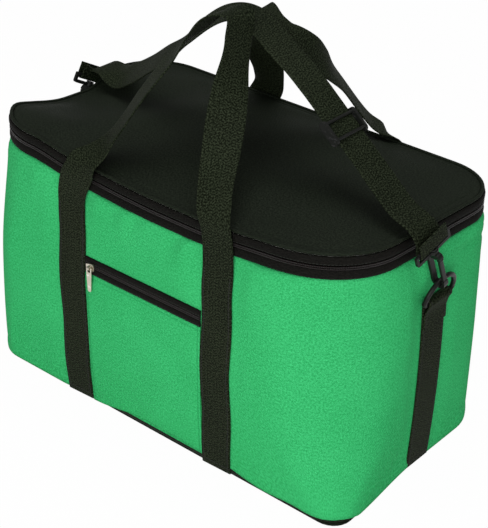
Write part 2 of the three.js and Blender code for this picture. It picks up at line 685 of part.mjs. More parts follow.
function snapHook() {
  const outer = HOOK_EYE + HOOK_BAR;
  const socket = GATE_HEAD + GAP;
  const reach = Math.asin((eyeTop - gateHeight) / socket);
  const socketHalf = socket * Math.cos(reach);
  const neck = SWIVEL_PIN + 1.5;
  const shape = new THREE.Shape();
  shape.moveTo(-neck, shoulderTop);
  shape.quadraticCurveTo(-outer, shoulderTop, -outer, shoulderTop - HOOK_SHOULDER);
  shape.lineTo(-outer, hookCentreZ);
  shape.absarc(0, hookCentreZ, outer, Math.PI, 2 * Math.PI, false);
  shape.lineTo(outer, hookCentreZ + HOOK_NOSE);
  shape.lineTo(HOOK_EYE, hookCentreZ + HOOK_NOSE);
  shape.lineTo(HOOK_EYE, hookCentreZ);
  shape.absarc(0, hookCentreZ, HOOK_EYE, 2 * Math.PI, Math.PI, true);
  shape.lineTo(-HOOK_EYE, eyeTop - 2);
  shape.quadraticCurveTo(-HOOK_EYE, eyeTop, -HOOK_EYE + 2, eyeTop);
  shape.lineTo(gateAcross - socketHalf, eyeTop);
  shape.absarc(gateAcross, gateHeight, socket, Math.PI - reach, reach, true);
  shape.quadraticCurveTo(gateAcross + socketHalf, shoulderTop, neck, shoulderTop);
  shape.closePath();
  const body = inHookPlane(plate(shape, HOOK_DEPTH, 8));
  const pinHeight = swivelHead - shoulderTop + 2;
  const pin = new THREE.CylinderGeometry(SWIVEL_PIN, SWIVEL_PIN, pinHeight, 16).rotateX(Math.PI / 2);
  pin.translate(ringTopX, 0, swivelHead - pinHeight / 2 + 0.5);
  const head = new THREE.CylinderGeometry(SWIVEL_HEAD, SWIVEL_HEAD, SWIVEL_HEAD_THICK, 16);
  head.rotateX(Math.PI / 2).translate(ringTopX, 0, swivelHead + SWIVEL_HEAD_THICK / 2);
  return join(body, pin, head);
}

function hookGate() {
  const half = GATE_BAR / 2;
  const tip = hookCentreZ + HOOK_NOSE + GAP;
  const neck = Math.sqrt(GATE_HEAD * GATE_HEAD - half * half);
  const neckAngle = Math.acos(half / GATE_HEAD);
  const shape = new THREE.Shape();
  shape.moveTo(gateAcross - half, tip);
  shape.lineTo(gateAcross + half, tip);
  shape.lineTo(gateAcross + half, gateHeight - neck);
  shape.absarc(gateAcross, gateHeight, GATE_HEAD, -neckAngle, Math.PI + neckAngle, false);
  shape.closePath();
  return inHookPlane(plate(shape, HOOK_DEPTH - 1, 12));
}

// The loop at the end of the strap, with a boss that the hook turns in
function strapLoop() {
  const windowHalf = WEB_WIDTH / 2 + 1.5;
  const outerHalf = windowHalf + LOOP_RAIL;
  const railTop = railLow + LOOP_RAIL;
  const round = 3;
  const shape = new THREE.Shape();
  shape.moveTo(-outerHalf + round, loopFoot);
  shape.lineTo(outerHalf - round, loopFoot);
  shape.quadraticCurveTo(outerHalf, loopFoot, outerHalf, loopFoot + round);
  shape.lineTo(outerHalf, railTop - 1);
  shape.lineTo(outerHalf - 1, railTop);
  shape.lineTo(-outerHalf + 1, railTop);
  shape.lineTo(-outerHalf, railTop - 1);
  shape.lineTo(-outerHalf, loopFoot + round);
  shape.quadraticCurveTo(-outerHalf, loopFoot, -outerHalf + round, loopFoot);
  const window = new THREE.Path();
  window.moveTo(-windowHalf, loopFoot + LOOP_FOOT);
  window.lineTo(windowHalf, loopFoot + LOOP_FOOT);
  window.lineTo(windowHalf, railLow);
  window.lineTo(-windowHalf, railLow);
  window.closePath();
  shape.holes.push(window);
  const frame = plate(shape, LOOP_RAIL).rotateX(Math.PI / 2).rotateZ(Math.PI / 2).translate(ringTopX, 0, 0);
  const middle = loopFoot + LOOP_FOOT / 2;
  const drum = (radius, height) => {
    const barrel = new THREE.CylinderGeometry(radius, radius, height, 16);
    return barrel.rotateX(Math.PI / 2).translate(ringTopX, 0, middle);
  };
  return cut(join(frame, drum(LOOP_BOSS, LOOP_FOOT)), drum(SWIVEL_PIN + GAP, LOOP_FOOT + 2));
}

// Place of the ring and its tab: hand 1 is the right side, and -1 the left, turned half round
function sidePlace(hand) {
  const turn = new THREE.Matrix4().makeRotationZ(hand > 0 ? 0 : Math.PI);
  return turn.premultiply(new THREE.Matrix4().makeTranslation(0, SIDE_SHIFT, 0));
}

// Place of the hook and the strap loop, which have slid round the ring's arc. The right one leans
// to the front, and the left one further to the back.
function hangingPlace(hand) {
  const centreX = ringPivotX + RING_CORNER * Math.sin(RING_LEAN);
  const centreZ = ringPivotZ + RING_CORNER * Math.cos(RING_LEAN);
  const centre = new THREE.Vector3(hand * centreX, SIDE_SHIFT, centreZ);
  const axis = new THREE.Vector3(hand * Math.cos(RING_LEAN), 0, -Math.sin(RING_LEAN));
  const lean = new THREE.Matrix4().makeRotationAxis(axis, hand > 0 ? RIGHT_HOOK_LEAN : LEFT_HOOK_LEAN);
  const toCentre = new THREE.Matrix4().makeTranslation(-centre.x, -centre.y, -centre.z);
  const back = new THREE.Matrix4().makeTranslation(centre.x, centre.y, centre.z);
  return back.multiply(lean).multiply(toCentre).multiply(sidePlace(hand));
}

// Ring, tab, hook and loop on one short side
function addSideHardware(name, hand) {
  const fixed = new THREE.Group();
  fixed.applyMatrix4(sidePlace(hand));
  addTo(fixed, `${name}_ring_tab`, ringTab(), WEBBING);
  addTo(fixed, `${name}_ring`, ringLoop(), PLASTIC, 0.5);
  const hanging = new THREE.Group();
  hanging.applyMatrix4(hangingPlace(hand));
  addTo(hanging, `${name}_snap_hook`, snapHook(), PLASTIC, 0.5);
  addTo(hanging, `${name}_hook_gate`, hookGate(), PLASTIC, 0.5);
  addTo(hanging, `${name}_strap_loop`, strapLoop(), PLASTIC, 0.5);
  bag.add(fixed, hanging);
}

// The strap's straight stretch, which the slide travels along
const slideStretchLow = new THREE.Vector3(BODY_LENGTH / 2 - 62, -14, WALL_HEIGHT + 64);
const slideStretchHigh = new THREE.Vector3(BODY_LENGTH / 2 - 142, -14, WALL_HEIGHT + 131);

// Shoulder strap from hook to hook over the lid, with both ends folded round their loops
function addShoulderStrap() {
  const endOut = (hand) => {
    const turnBack = new THREE.Vector3(ringTopX + railTurn, 0, railMiddle + STRAP_TURN_BACK);
    const bend = arcPoints(ringTopX, railMiddle, railTurn, 0, -180, 8);
    const rise = new THREE.Vector3(ringTopX - railTurn, 0, railMiddle + 4);
    return [turnBack, ...bend, rise].map((p) => p.applyMatrix4(hangingPlace(hand)));
  };
  const smooth = (route, steps) =>
    new THREE.CatmullRomCurve3(route.map((p) => new THREE.Vector3(...p))).getSpacedPoints(steps);
  // A place over the bag: in from the right or left end of the body, across it, and above the rim
  const over = (hand, inset, y, rise) => [hand * (BODY_LENGTH / 2 - inset), y, WALL_HEIGHT + rise];
  const rightEnd = endOut(1);
  const leftEnd = endOut(-1);
  const rightSide = smooth(
    [
      rightEnd.pop().toArray(),
      over(1, -8, -23, 24),
      over(1, -1, -25, 32),
      over(1, 18, -24, 39),
      slideStretchLow.toArray(),
    ],
    14,
  );
  const overTop = smooth(
    [
      slideStretchHigh.toArray(),
      over(1, 166, -8, 153),
      over(1, 194, 2, 176),
      over(1, 220, 7, 182),
      over(-1, 232, 8, 171),
      over(-1, 178, 8, 127),
      over(-1, 121, 16, 83),
      over(-1, 50, 36, 41),
      over(-1, 14, 50, 33),
      over(-1, -4, 54, 27),
      over(-1, -9, 52, 17),
      leftEnd.pop().toArray(),
    ],
    36,
  );
  const points = [...rightEnd, ...rightSide, ...overTop, ...leftEnd.reverse()];
  const wide = (share) => {
    const hand = share < 0.5 ? 1 : -1;
    const fromEnd = Math.min(share, 1 - share);
    const leaning = new THREE.Vector3(0, hand, 0).transformDirection(hangingPlace(hand));
    const [from, to] = hand > 0 ? [0.13, 0.19] : [0.13, 0.16];
    return leaning.lerp(alongY(), THREE.MathUtils.smoothstep(fromEnd, from, to));
  };
  add("shoulder_strap", ribbon(points, wide), WEBBING);
}

// Slide that sets the strap's length: two bars under the webbing and one over it
function addStrapSlide() {
  const along = slideStretchHigh.clone().sub(slideStretchLow).normalize();
  const wide = alongY();
  const out = along.clone().cross(wide);
  const lift = WEB_THICK / 2 + GAP + SLIDE_BAR;
  const railOut = WEB_WIDTH / 2 + 1 + SLIDE_RAIL / 2;
  const rail = new THREE.Shape();
  const half = SLIDE_LENGTH / 2;
  const tall = lift + SLIDE_BAR;
  rail.moveTo(-half + tall, -tall);
  rail.lineTo(half - tall, -tall);
  rail.absarc(half - tall, 0, tall, -Math.PI / 2, Math.PI / 2, false);
  rail.lineTo(-half + tall, tall);
  rail.absarc(-half + tall, 0, tall, Math.PI / 2, 1.5 * Math.PI, false);
  const railAt = (side) => plate(rail, SLIDE_RAIL).rotateX(-Math.PI / 2).translate(0, side * railOut, 0);
  const barAt = (x, z) =>
    new THREE.CylinderGeometry(SLIDE_BAR, SLIDE_BAR, 2 * railOut, 10).translate(x, 0, z);
  const barReach = half - tall;
  const body = join(
    railAt(-1),
    railAt(1),
    barAt(-barReach, -lift),
    barAt(0, lift),
    barAt(barReach, -lift),
  );
  const slide = add("strap_slide", body, PLASTIC, 0.5);
  slide.applyMatrix4(new THREE.Matrix4().makeBasis(along, wide, out));
  slide.position.copy(slideStretchLow).lerp(slideStretchHigh, 0.43);
}

addBody();
addMouthZip();
addLid();
addHandles();
addPocket();
addMouthSlider();
addSideHardware("right", 1);
addSideHardware("left", -1);
addShoulderStrap();
addStrapSlide();

export default bag;
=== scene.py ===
# %% [markdown]
# # Insulated food bag
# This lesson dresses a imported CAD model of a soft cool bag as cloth, webbing, zips and plastic fittings.
# The CAD model is loaded first and never moved. Each soft solid is replaced by cloth made in mesh code in
# about the same place, and each hard fitting gets rounded edges. Sizes are in metres, with the front of the
# bag at -Y and the floor at Z = 0.

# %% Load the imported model
import math

import bmesh
import bpy
import numpy as np
from mathutils import Matrix, Vector


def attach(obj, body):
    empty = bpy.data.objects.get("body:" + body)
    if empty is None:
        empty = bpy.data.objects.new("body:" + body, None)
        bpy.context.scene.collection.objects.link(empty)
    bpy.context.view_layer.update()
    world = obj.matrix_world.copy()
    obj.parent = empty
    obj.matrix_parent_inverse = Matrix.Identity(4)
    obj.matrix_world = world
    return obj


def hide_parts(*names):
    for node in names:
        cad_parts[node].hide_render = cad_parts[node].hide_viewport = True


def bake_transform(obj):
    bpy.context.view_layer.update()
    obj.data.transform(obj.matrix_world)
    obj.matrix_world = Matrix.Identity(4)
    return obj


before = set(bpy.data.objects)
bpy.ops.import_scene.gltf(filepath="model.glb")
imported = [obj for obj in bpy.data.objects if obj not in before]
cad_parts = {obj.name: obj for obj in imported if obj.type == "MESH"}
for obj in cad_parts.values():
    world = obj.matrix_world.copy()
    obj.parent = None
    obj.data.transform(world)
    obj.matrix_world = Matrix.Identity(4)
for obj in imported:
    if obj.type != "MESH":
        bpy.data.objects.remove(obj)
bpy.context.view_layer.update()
MM = 0.001

# %% [markdown]
# ## Camera
# The bag was seen from its front right, from about 30 degrees above the floor. A camera could be aimed with
# a constraint, but a matrix built from the view's own three axes is exact and also takes the slight roll.
# Blender gives the sensor's width to the picture's longer side, here its height of 528 pixels.

# %% Camera
PICTURE_LONG_SIDE = 528
FOCAL_PIXELS = 1514.0
azimuth, elevation, roll = (math.radians(angle) for angle in (40.4, 30.3, -0.89))
backwards = Vector((
    math.sin(azimuth) * math.cos(elevation),
    -math.cos(azimuth) * math.cos(elevation),
    math.sin(elevation),
))
level_right = (-backwards).cross(Vector((0, 0, 1))).normalized()
level_down = (-backwards).cross(level_right)
to_right = math.cos(roll) * level_right + math.sin(roll) * level_down
to_top = math.sin(roll) * level_right - math.cos(roll) * level_down

lens = bpy.data.cameras.new("camera")
lens.sensor_width = 36.0
lens.lens = FOCAL_PIXELS * lens.sensor_width / PICTURE_LONG_SIDE
lens.shift_x, lens.shift_y = 10.0 / PICTURE_LONG_SIDE, -7.1 / PICTURE_LONG_SIDE
camera = bpy.data.objects.new("camera", lens)
bpy.context.collection.objects.link(camera)
turned = Matrix((to_right, to_top, backwards)).transposed().to_4x4()
camera.matrix_world = Matrix.Translation(Vector((0, 0, 0.150)) + 1.601 * backwards) @ turned
bpy.context.scene.camera = camera
bpy.context.scene.view_settings.view_transform = "Standard"
print("camera at", [round(v, 3) for v in camera.matrix_world.translation], "lens", round(lens.lens, 1))

# %% [markdown]
# ## Shader helpers
# Every finish is made of nodes. A small class keeps that short: it adds a node, joins sockets and does
# sums. An effect that several finishes share becomes a node group with named inputs and outputs.

# %% Shader helpers
class Net:
    """Adds nodes to a tree and joins them."""

    def __init__(self, tree):
        self.tree = tree

    def node(self, kind, **settings):
        made = self.tree.nodes.new(kind)
        for key, value in settings.items():
            setattr(made, key, value)
        return made

    def feed(self, socket, value):
        if isinstance(value, bpy.types.NodeSocket):
            self.tree.links.new(value, socket)
        else:
            socket.default_value = value

    def sum(self, operation, *values, clamp=False):
        made = self.node("ShaderNodeMath", operation=operation, use_clamp=clamp)
        for socket, value in zip(made.inputs, values):
            self.feed(socket, value)
        return made.outputs[0]

    def noise(self, place, scale, detail=2.0):
        made = self.node("ShaderNodeTexNoise")
        self.feed(made.inputs["Vector"], place)
        self.feed(made.inputs["Scale"], scale)
        made.inputs["Detail"].default_value = detail
        return made.outputs["Fac"]

    def blend(self, share, first, second):
        made = self.node("ShaderNodeMix", data_type="RGBA")
        self.feed(made.inputs[0], share)
        self.feed(made.inputs[6], first)
        self.feed(made.inputs[7], second)
        return made.outputs[2]

    def use(self, group, **values):
        made = self.node("ShaderNodeGroup", node_tree=group)
        for label, value in values.items():
            self.feed(made.inputs[label], value)
        return made.outputs

    def bump(self, shader, height):
        made = self.node("ShaderNodeBump")
        made.inputs["Distance"].default_value = 1.0
        self.feed(made.inputs["Height"], height)
        self.feed(shader["Normal"], made.outputs[0])


def shader_group(name, inputs, outputs):
    tree = bpy.data.node_groups.new(name, "ShaderNodeTree")
    for label, value in inputs.items():
        kind = "NodeSocketVector" if value is None else "NodeSocketFloat"
        socket = tree.interface.new_socket(label, in_out="INPUT", socket_type=kind)
        if value is not None:
            socket.default_value = value
    for label in outputs:
        tree.interface.new_socket(label, in_out="OUTPUT", socket_type="NodeSocketFloat")
    net = Net(tree)
    return tree, net, net.node("NodeGroupInput").outputs, net.node("NodeGroupOutput").inputs


print("shader helpers ready")

# %% [markdown]
# ## Weave
# Bag fabric is a plain weave: each thread goes over one and under the next. Two sine waves multiplied give
# that chequer of crowns. Yarn is never even, so a noise makes some threads fatter and some paler, which is
# the mottled grain that shows at arm's length.

# %% Weave group
weave, net, inner, outer = shader_group("weave", {"Cloth": None, "Pitch": 0.0012}, ["Height", "Shade"])
scaled = net.node("ShaderNodeVectorMath", operation="SCALE")
net.feed(scaled.inputs[0], inner["Cloth"])
net.feed(scaled.inputs["Scale"], net.sum("DIVIDE", math.pi, inner["Pitch"]))
threads = net.node("ShaderNodeSeparateXYZ")
net.feed(threads.inputs[0], scaled.outputs[0])
crossing = net.sum("MULTIPLY", net.sum("SINE", threads.outputs[0]), net.sum("SINE", threads.outputs[1]))
slub = net.noise(inner["Cloth"], net.sum("DIVIDE", 0.62, inner["Pitch"]), 1.0)
net.feed(outer["Height"], net.sum("MULTIPLY_ADD", crossing, 0.35, net.sum("MULTIPLY", slub, 0.4)))
uneven = net.sum("MULTIPLY_ADD", slub, 2.7, -0.85)
net.feed(outer["Shade"], net.sum("MULTIPLY_ADD", crossing, 0.08, uneven))
print("group:", weave.name)

# %% [markdown]
# ## Webbing ribs
# Handle webbing is woven in a herringbone: diagonal ribs that turn back in narrow lengthwise stripes. A
# ping-pong of the distance across gives the zigzag, and a sine along it gives the ribs.

# %% Webbing group
STRIPE = 0.0038
ribs, net, inner, outer = shader_group("webbing_ribs", {"Cloth": None, "Pitch": 0.0030}, ["Height", "Shade"])
place = net.node("ShaderNodeSeparateXYZ")
net.feed(place.inputs[0], inner["Cloth"])
zigzag = net.sum("PINGPONG", net.sum("ADD", place.outputs[0], 1.0), STRIPE)
slant = net.sum("ADD", place.outputs[1], net.sum("MULTIPLY", zigzag, 0.7))
rib = net.sum("SINE", net.sum("DIVIDE", net.sum("MULTIPLY", slant, 2 * math.pi), inner["Pitch"]))
groove = net.sum("SINE", net.sum("MULTIPLY", zigzag, math.pi / STRIPE))
yarn = net.noise(inner["Cloth"], 600.0, 1.0)
body_of_rib = net.sum("MULTIPLY", net.sum("MULTIPLY_ADD", rib, 0.5, 0.5), net.sum("POWER", groove, 0.35))
net.feed(outer["Height"], net.sum("MULTIPLY_ADD", yarn, 0.5, body_of_rib))
uneven = net.sum("MULTIPLY_ADD", yarn, 3.6, -1.72)
net.feed(outer["Shade"], net.sum("MULTIPLY_ADD", body_of_rib, 0.6, uneven))
print("group:", ribs.name)

# %% [markdown]
# ## Stitches
# A lockstitch is a row of short threads with a small gap between them. The group takes the distance from
# the row and along it, and puts out a mask for the thread and a height that stands up in its middle and
# sinks into the cloth at the holes.

# %% Stitch group
stitches, net, inner, outer = shader_group(
    "stitch_row", {"Offset": 0.0, "Along": 0.0, "Pitch": 0.0034, "Width": 0.00075}, ["Mask", "Height"])
beside = net.sum("DIVIDE", net.sum("ABSOLUTE", inner["Offset"]), inner["Width"])
along_stitch = net.sum("FRACT", net.sum("DIVIDE", inner["Along"], inner["Pitch"]))
hump = net.sum("SINE", net.sum("MULTIPLY", along_stitch, math.pi))
thread = net.sum("MULTIPLY", net.sum("SUBTRACT", hump, 0.3), 5.0, clamp=True)
across_thread = net.sum("MULTIPLY_ADD", beside, -1.6, 1.9, clamp=True)
mask = net.sum("MULTIPLY", thread, across_thread)
furrow = net.sum("MULTIPLY_ADD", beside, -0.28, 1.0, clamp=True)
net.feed(outer["Mask"], mask)
net.feed(outer["Height"], net.sum("SUBTRACT", mask, net.sum("MULTIPLY", furrow, 0.8)))
print("group:", stitches.name)

# %% [markdown]
# ## Wear and moulded grain
# Cloth that is carried about gets a little paler and duller in patches. Moulded plastic and cast metal have
# a very fine grain and hairline scratches. All of these come from noise.

# %% Wear and grain groups
wear, net, inner, outer = shader_group("wear", {"Place": None, "Size": 0.05}, ["Shade"])
broad = net.noise(inner["Place"], net.sum("DIVIDE", 1.0, inner["Size"]), 3.0)
fine = net.noise(inner["Place"], net.sum("DIVIDE", 9.0, inner["Size"]), 2.0)
net.feed(outer["Shade"], net.sum("MULTIPLY_ADD", fine, 0.35, net.sum("MULTIPLY", broad, 0.65)))

grain, net, inner, outer = shader_group("moulded_grain", {"Place": None}, ["Height", "Shade", "Scratch"])
pits = net.noise(inner["Place"], 1500.0, 2.0)
stretched = net.node("ShaderNodeVectorMath", operation="MULTIPLY")
net.feed(stretched.inputs[0], inner["Place"])
stretched.inputs[1].default_value = (180.0, 2600.0, 420.0)
hairline = net.noise(stretched.outputs[0], 1.0, 1.0)
net.feed(outer["Height"], pits)
net.feed(outer["Shade"], net.noise(inner["Place"], 160.0, 2.0))
net.feed(outer["Scratch"], net.sum("MULTIPLY", net.sum("SUBTRACT", hairline, 0.62), 9.0, clamp=True))
print("groups:", wear.name, grain.name)

# %% [markdown]
# ## Cloth finishes
# The green body, the black lid and the black webbing differ only in colour, weave and shine, so one
# function builds them all. The cloth map holds each point's place on the flat cloth in metres, so threads
# keep their size on every piece. Stitch rows run along the cloth on both sides of its middle, or across it.

# %% Cloth finishes
BLACK_THREAD = (0.03, 0.032, 0.028, 1)


def new_material(name):
    made = bpy.data.materials.new(name)
    made.use_nodes = True
    return made, Net(made.node_tree), made.node_tree.nodes["Principled BSDF"].inputs


def cloth_finish(name, group, pitch, deep, pale, rough, relief, rows=(), thread=BLACK_THREAD, shine=0.10):
    """rows holds (row, distance) pairs: 'both' sides of the middle, or 'end' at a distance along."""
    made, net, shader = new_material(name)
    cloth = net.node("ShaderNodeUVMap", uv_map="cloth").outputs[0]
    threads = net.use(group, Cloth=cloth, Pitch=pitch)
    spot = net.node("ShaderNodeTexCoord").outputs["Object"]
    patches = net.use(wear, Place=spot, Size=0.07)["Shade"]
    shade = net.sum("MULTIPLY_ADD", net.sum("SUBTRACT", patches, 0.5), 0.9, threads["Shade"], clamp=True)
    colour = net.blend(shade, deep, pale)
    height = net.sum("MULTIPLY", threads["Height"], relief)
    place = net.node("ShaderNodeSeparateXYZ")
    net.feed(place.inputs[0], cloth)
    for row, distance in rows:
        if row == "both":
            offset = net.sum("SUBTRACT", net.sum("ABSOLUTE", place.outputs[0]), distance)
            along = place.outputs[1]
        else:
            offset = net.sum("SUBTRACT", place.outputs[1], distance)
            along = place.outputs[0]
        sewn = net.use(stitches, Offset=offset, Along=along)
        colour = net.blend(sewn["Mask"], colour, thread)
        height = net.sum("MULTIPLY_ADD", sewn["Height"], 0.0005, height)
    net.bump(shader, height)
    net.feed(shader["Base Color"], colour)
    net.feed(shader["Roughness"], net.sum("MULTIPLY_ADD", net.sum("SUBTRACT", patches, 0.5), 0.25, rough))
    shader["Specular IOR Level"].default_value = shine
    return made


GREEN_DEEP, GREEN_PALE = (0.026, 0.385, 0.112, 1), (0.057, 0.565, 0.192, 1)
BLACK_DEEP, BLACK_PALE = (0.0044, 0.0072, 0.0034, 1), (0.0146, 0.0200, 0.0120, 1)
WEB_DEEP, WEB_PALE = (0.0044, 0.0068, 0.0028, 1), (0.0310, 0.0400, 0.0220, 1)
GREEN_THREAD = (0.030, 0.43, 0.13, 1)

green_fabric = cloth_finish("green_fabric", weave, 0.0012, GREEN_DEEP, GREEN_PALE, 0.78, 0.00022, shine=0.03)
pocket_fabric = cloth_finish(
    "pocket_fabric", weave, 0.0012, GREEN_DEEP, GREEN_PALE, 0.78, 0.00022,
    rows=[("both", 0.0755), ("end", 0.1590)], thread=GREEN_THREAD, shine=0.03)
black_fabric = cloth_finish("black_fabric", weave, 0.0012, BLACK_DEEP, BLACK_PALE, 0.72, 0.00022)
plain_webbing = cloth_finish("plain_webbing", ribs, 0.0030, WEB_DEEP, WEB_PALE, 0.66, 0.00022, shine=0.04)
sewn_webbing = cloth_finish(
    "sewn_webbing", ribs, 0.0030, WEB_DEEP, WEB_PALE, 0.66, 0.00022,
    rows=[("both", 0.0158), ("end", 0.0060)], shine=0.04)
tape_fabric = cloth_finish(
    "tape_fabric", weave, 0.0009, (0.0026, 0.0028, 0.0022, 1), (0.0125, 0.0115, 0.0100, 1), 0.70, 0.00018,
    rows=[("end", 0.0022)], shine=0.04)
foam_skin = cloth_finish(
    "foam_skin", weave, 0.0021, (0.60, 0.60, 0.55, 1), (0.80, 0.80, 0.76, 1), 0.9, 0.0003)
print("cloth finishes ready")

# %% [markdown]
# ## Zip teeth, plastic, metal and lining film
# A coil zip's teeth are one nylon spiral, so its ribs run evenly along the zip. The fittings are moulded in
# black plastic with a soft gloss. The sliders are cast in a warm silver metal. The lining is a thin
# aluminised film that wrinkles, so its shine breaks up in small creases.

# %% Other finishes
TOOTH_PITCH = 0.0016


def coil_finish(name):
    made, net, shader = new_material(name)
    place = net.node("ShaderNodeSeparateXYZ")
    net.feed(place.inputs[0], net.node("ShaderNodeUVMap", uv_map="cloth").outputs[0])
    turn = net.sum("SINE", net.sum("MULTIPLY", place.outputs[0], 2 * math.pi / TOOTH_PITCH))
    tooth = net.sum("MULTIPLY_ADD", turn, 0.5, 0.5)
    net.feed(shader["Base Color"], net.blend(tooth, (0.004, 0.004, 0.004, 1), (0.018, 0.011, 0.010, 1)))
    net.feed(shader["Roughness"], net.sum("MULTIPLY_ADD", tooth, -0.2, 0.5))
    shader["Specular IOR Level"].default_value = 0.3
    net.bump(shader, net.sum("MULTIPLY", tooth, 0.0006))
    return made


def fitting_finish(name, deep, pale, rough, metallic, scratched, shine=0.5):
    made, net, shader = new_material(name)
    spot = net.node("ShaderNodeTexCoord").outputs["Object"]
    worn = net.use(grain, Place=spot)
    colour = net.blend(worn["Shade"], deep, pale)
    net.feed(shader["Base Color"], net.blend(worn["Scratch"], colour, scratched))
    net.feed(shader["Roughness"], net.sum("MULTIPLY_ADD", worn["Shade"], 0.22, rough))
    shader["Metallic"].default_value = metallic
    shader["Specular IOR Level"].default_value = shine
    net.bump(shader, net.sum("MULTIPLY", worn["Height"], 0.00004))
    return made


def film_finish(name):
    made, net, shader = new_material(name)
    spot = net.node("ShaderNodeTexCoord").outputs["Object"]
    crease = net.node("ShaderNodeTexVoronoi", feature="DISTANCE_TO_EDGE")
    net.feed(crease.inputs["Vector"], spot)
    crease.inputs["Scale"].default_value = 42.0
    patches = net.use(wear, Place=spot, Size=0.04)["Shade"]
    net.feed(shader["Base Color"], net.blend(patches, (0.50, 0.52, 0.54, 1), (0.78, 0.79, 0.80, 1)))
    net.feed(shader["Roughness"], net.sum("MULTIPLY_ADD", patches, 0.25, 0.22))
    shader["Metallic"].default_value = 0.75
    folds = net.sum("MULTIPLY", net.sum("MINIMUM", crease.outputs[0], 0.12), 0.006)
    net.bump(shader, net.sum("MULTIPLY_ADD", patches, 0.0015, folds))
    return made


zip_teeth = coil_finish("zip_teeth")
black_plastic = fitting_finish(
    "black_plastic", (0.006, 0.007, 0.006, 1), (0.012, 0.013, 0.011, 1), 0.30, 0.0,
    scratched=(0.03, 0.03, 0.03, 1), shine=0.15)
slider_metal = fitting_finish(
    "slider_metal", (0.50, 0.46, 0.37, 1), (0.72, 0.68, 0.57, 1), 0.24, 1.0,
    scratched=(0.85, 0.82, 0.74, 1))
lining_film = film_finish("lining_film")
print("finishes:", [m.name for m in bpy.data.materials if m.users == 0])

# %% [markdown]
# ## The wall's shape
# The bag is a lofted shell: a rounded rectangle at the base whose corners grow rounder towards the mouth,
# with walls that swell in the middle. The front right corner is softest half way up and spreads at its
# foot, and the back right one is drawn in. One function gives any point. A turn of 0 to 1 runs along the
# front, 1 to 2 round the front right corner, and so on to 8. The rim sinks towards the back, the left end
# of the mouth and the front's middle sag a little more, and the front left corner stands up.

# %% Wall
HALF_LENGTH, HALF_DEPTH, WALL_HEIGHT = 0.240, 0.135, 0.260
LID_EDGE = 0.2837
BULGE = 0.005
MOUTH_SLOPE = 0.014
SINK_FROM = 0.0325
LEG_X = 0.098
SIDE_SHIFT = 0.008


def ease(low, high, value):
    share = np.clip((value - low) / (high - low), 0.0, 1.0)
    return share * share * (3.0 - 2.0 * share)


def bulge(height):
    """How far the wall stands out at a height."""
    share = np.clip(height / WALL_HEIGHT, 0.0, 1.0)
    return BULGE * 4.0 * share * (1.0 - share)


def rise_share(z):
    return np.clip((z - SINK_FROM) / (WALL_HEIGHT - SINK_FROM), 0.0, 1.0)


def slope_drop(y, z):
    """How far the mouth's slope to the back lowers a place on the body."""
    return MOUTH_SLOPE * (y + HALF_DEPTH) / (2 * HALF_DEPTH) * rise_share(z)


def settle(x, y, z):
    """How far a place on the soft body hangs below its drawn height."""
    left_end = 0.015 * ease(-0.100, -0.010, y) * ease(0.068, 0.020, y) * ease(-0.070, -0.236, x)
    front = 0.009 * ease(-0.170, 0.020, x) * ease(0.190, 0.060, x) * ease(-0.030, -0.120, y)
    corner = -0.005 * ease(-0.100, -0.160, x) * ease(-0.060, -0.110, y)
    return slope_drop(y, z) + (left_end + front + corner) * rise_share(z) ** 4


def wall(turn, z, out=0.0):
    """Points of the wall, out metres outside its drawn surface."""
    turn, z, out = np.broadcast_arrays(np.asarray(turn, float), np.asarray(z, float), np.asarray(out, float))
    share = np.clip(z / WALL_HEIGHT, 0.0, 1.0)
    swell = 4.0 * share * (1.0 - share)
    half_x, half_y = HALF_LENGTH + BULGE * swell, HALF_DEPTH + BULGE * swell
    corners = [
        0.022 + 0.060 * share ** 0.6 + 0.034 * swell,
        0.054 + 0.008 * share,
        0.050 + 0.010 * share,
        0.040 + 0.042 * share,
    ]
    part = np.floor(turn).astype(int) % 8
    along = turn - np.floor(turn)
    side = part // 2
    endwise = side % 2 == 1
    reach = np.where(endwise, half_x, half_y)
    half = np.where(endwise, half_y, half_x)
    before, after = np.choose(side, corners[-1:] + corners[:-1]), np.choose(side, corners)
    straight = part % 2 == 0
    angle = np.where(straight, 0.0, along * math.pi / 2)
    slide = np.where(straight, (before - half) * (1.0 - along) + (half - after) * along, half - after)
    radius = after + out
    x = slide + radius * np.sin(angle)
    y = -(reach - after) - radius * np.cos(angle)
    turned = side * math.pi / 2
    px = x * np.cos(turned) - y * np.sin(turned)
    py = x * np.sin(turned) + y * np.cos(turned)
    spread = 0.009 * (1.0 - share) ** 2 * ease(0.150, 0.235, px) * ease(0.010, -0.120, py)
    hollow = 0.0036 * swell * ease(0.180, 0.235, px) * ease(0.050, 0.120, py)
    px, py = px + spread - hollow, py - hollow
    return np.stack([px, py, z - settle(px, py, z)], axis=-1)


def turns_between(start, end, fineness=1.0):
    """Turns spaced about evenly on the cloth, closer round the corners."""
    steps = {0: 64, 1: 14, 2: 32, 3: 14}
    turns = []
    for part in range(int(start), int(end)):
        count = max(2, int(steps[part % 4] * fineness))
        turns += [part + k / count for k in range(count)]
    return np.array(turns + ([] if end - start == 8 else [float(end)]))


def run_length(points, shut=False):
    """Distance along points from the first."""
    if shut:
        points = np.concatenate([points, points[:1]])
    return np.concatenate([[0.0], np.cumsum(np.linalg.norm(np.diff(points, axis=0), axis=1))])


print("front middle of the wall:", wall(0.5, 0.13).round(4))

# %% [markdown]
# ## Mesh helpers
# Cloth pieces are grids of points. The helper turns a grid into a smooth mesh and writes the cloth map, the
# place of each corner on the flat cloth in metres. Doing this by hand keeps the threads straight and the
# size right, which an automatic unwrap can't promise.

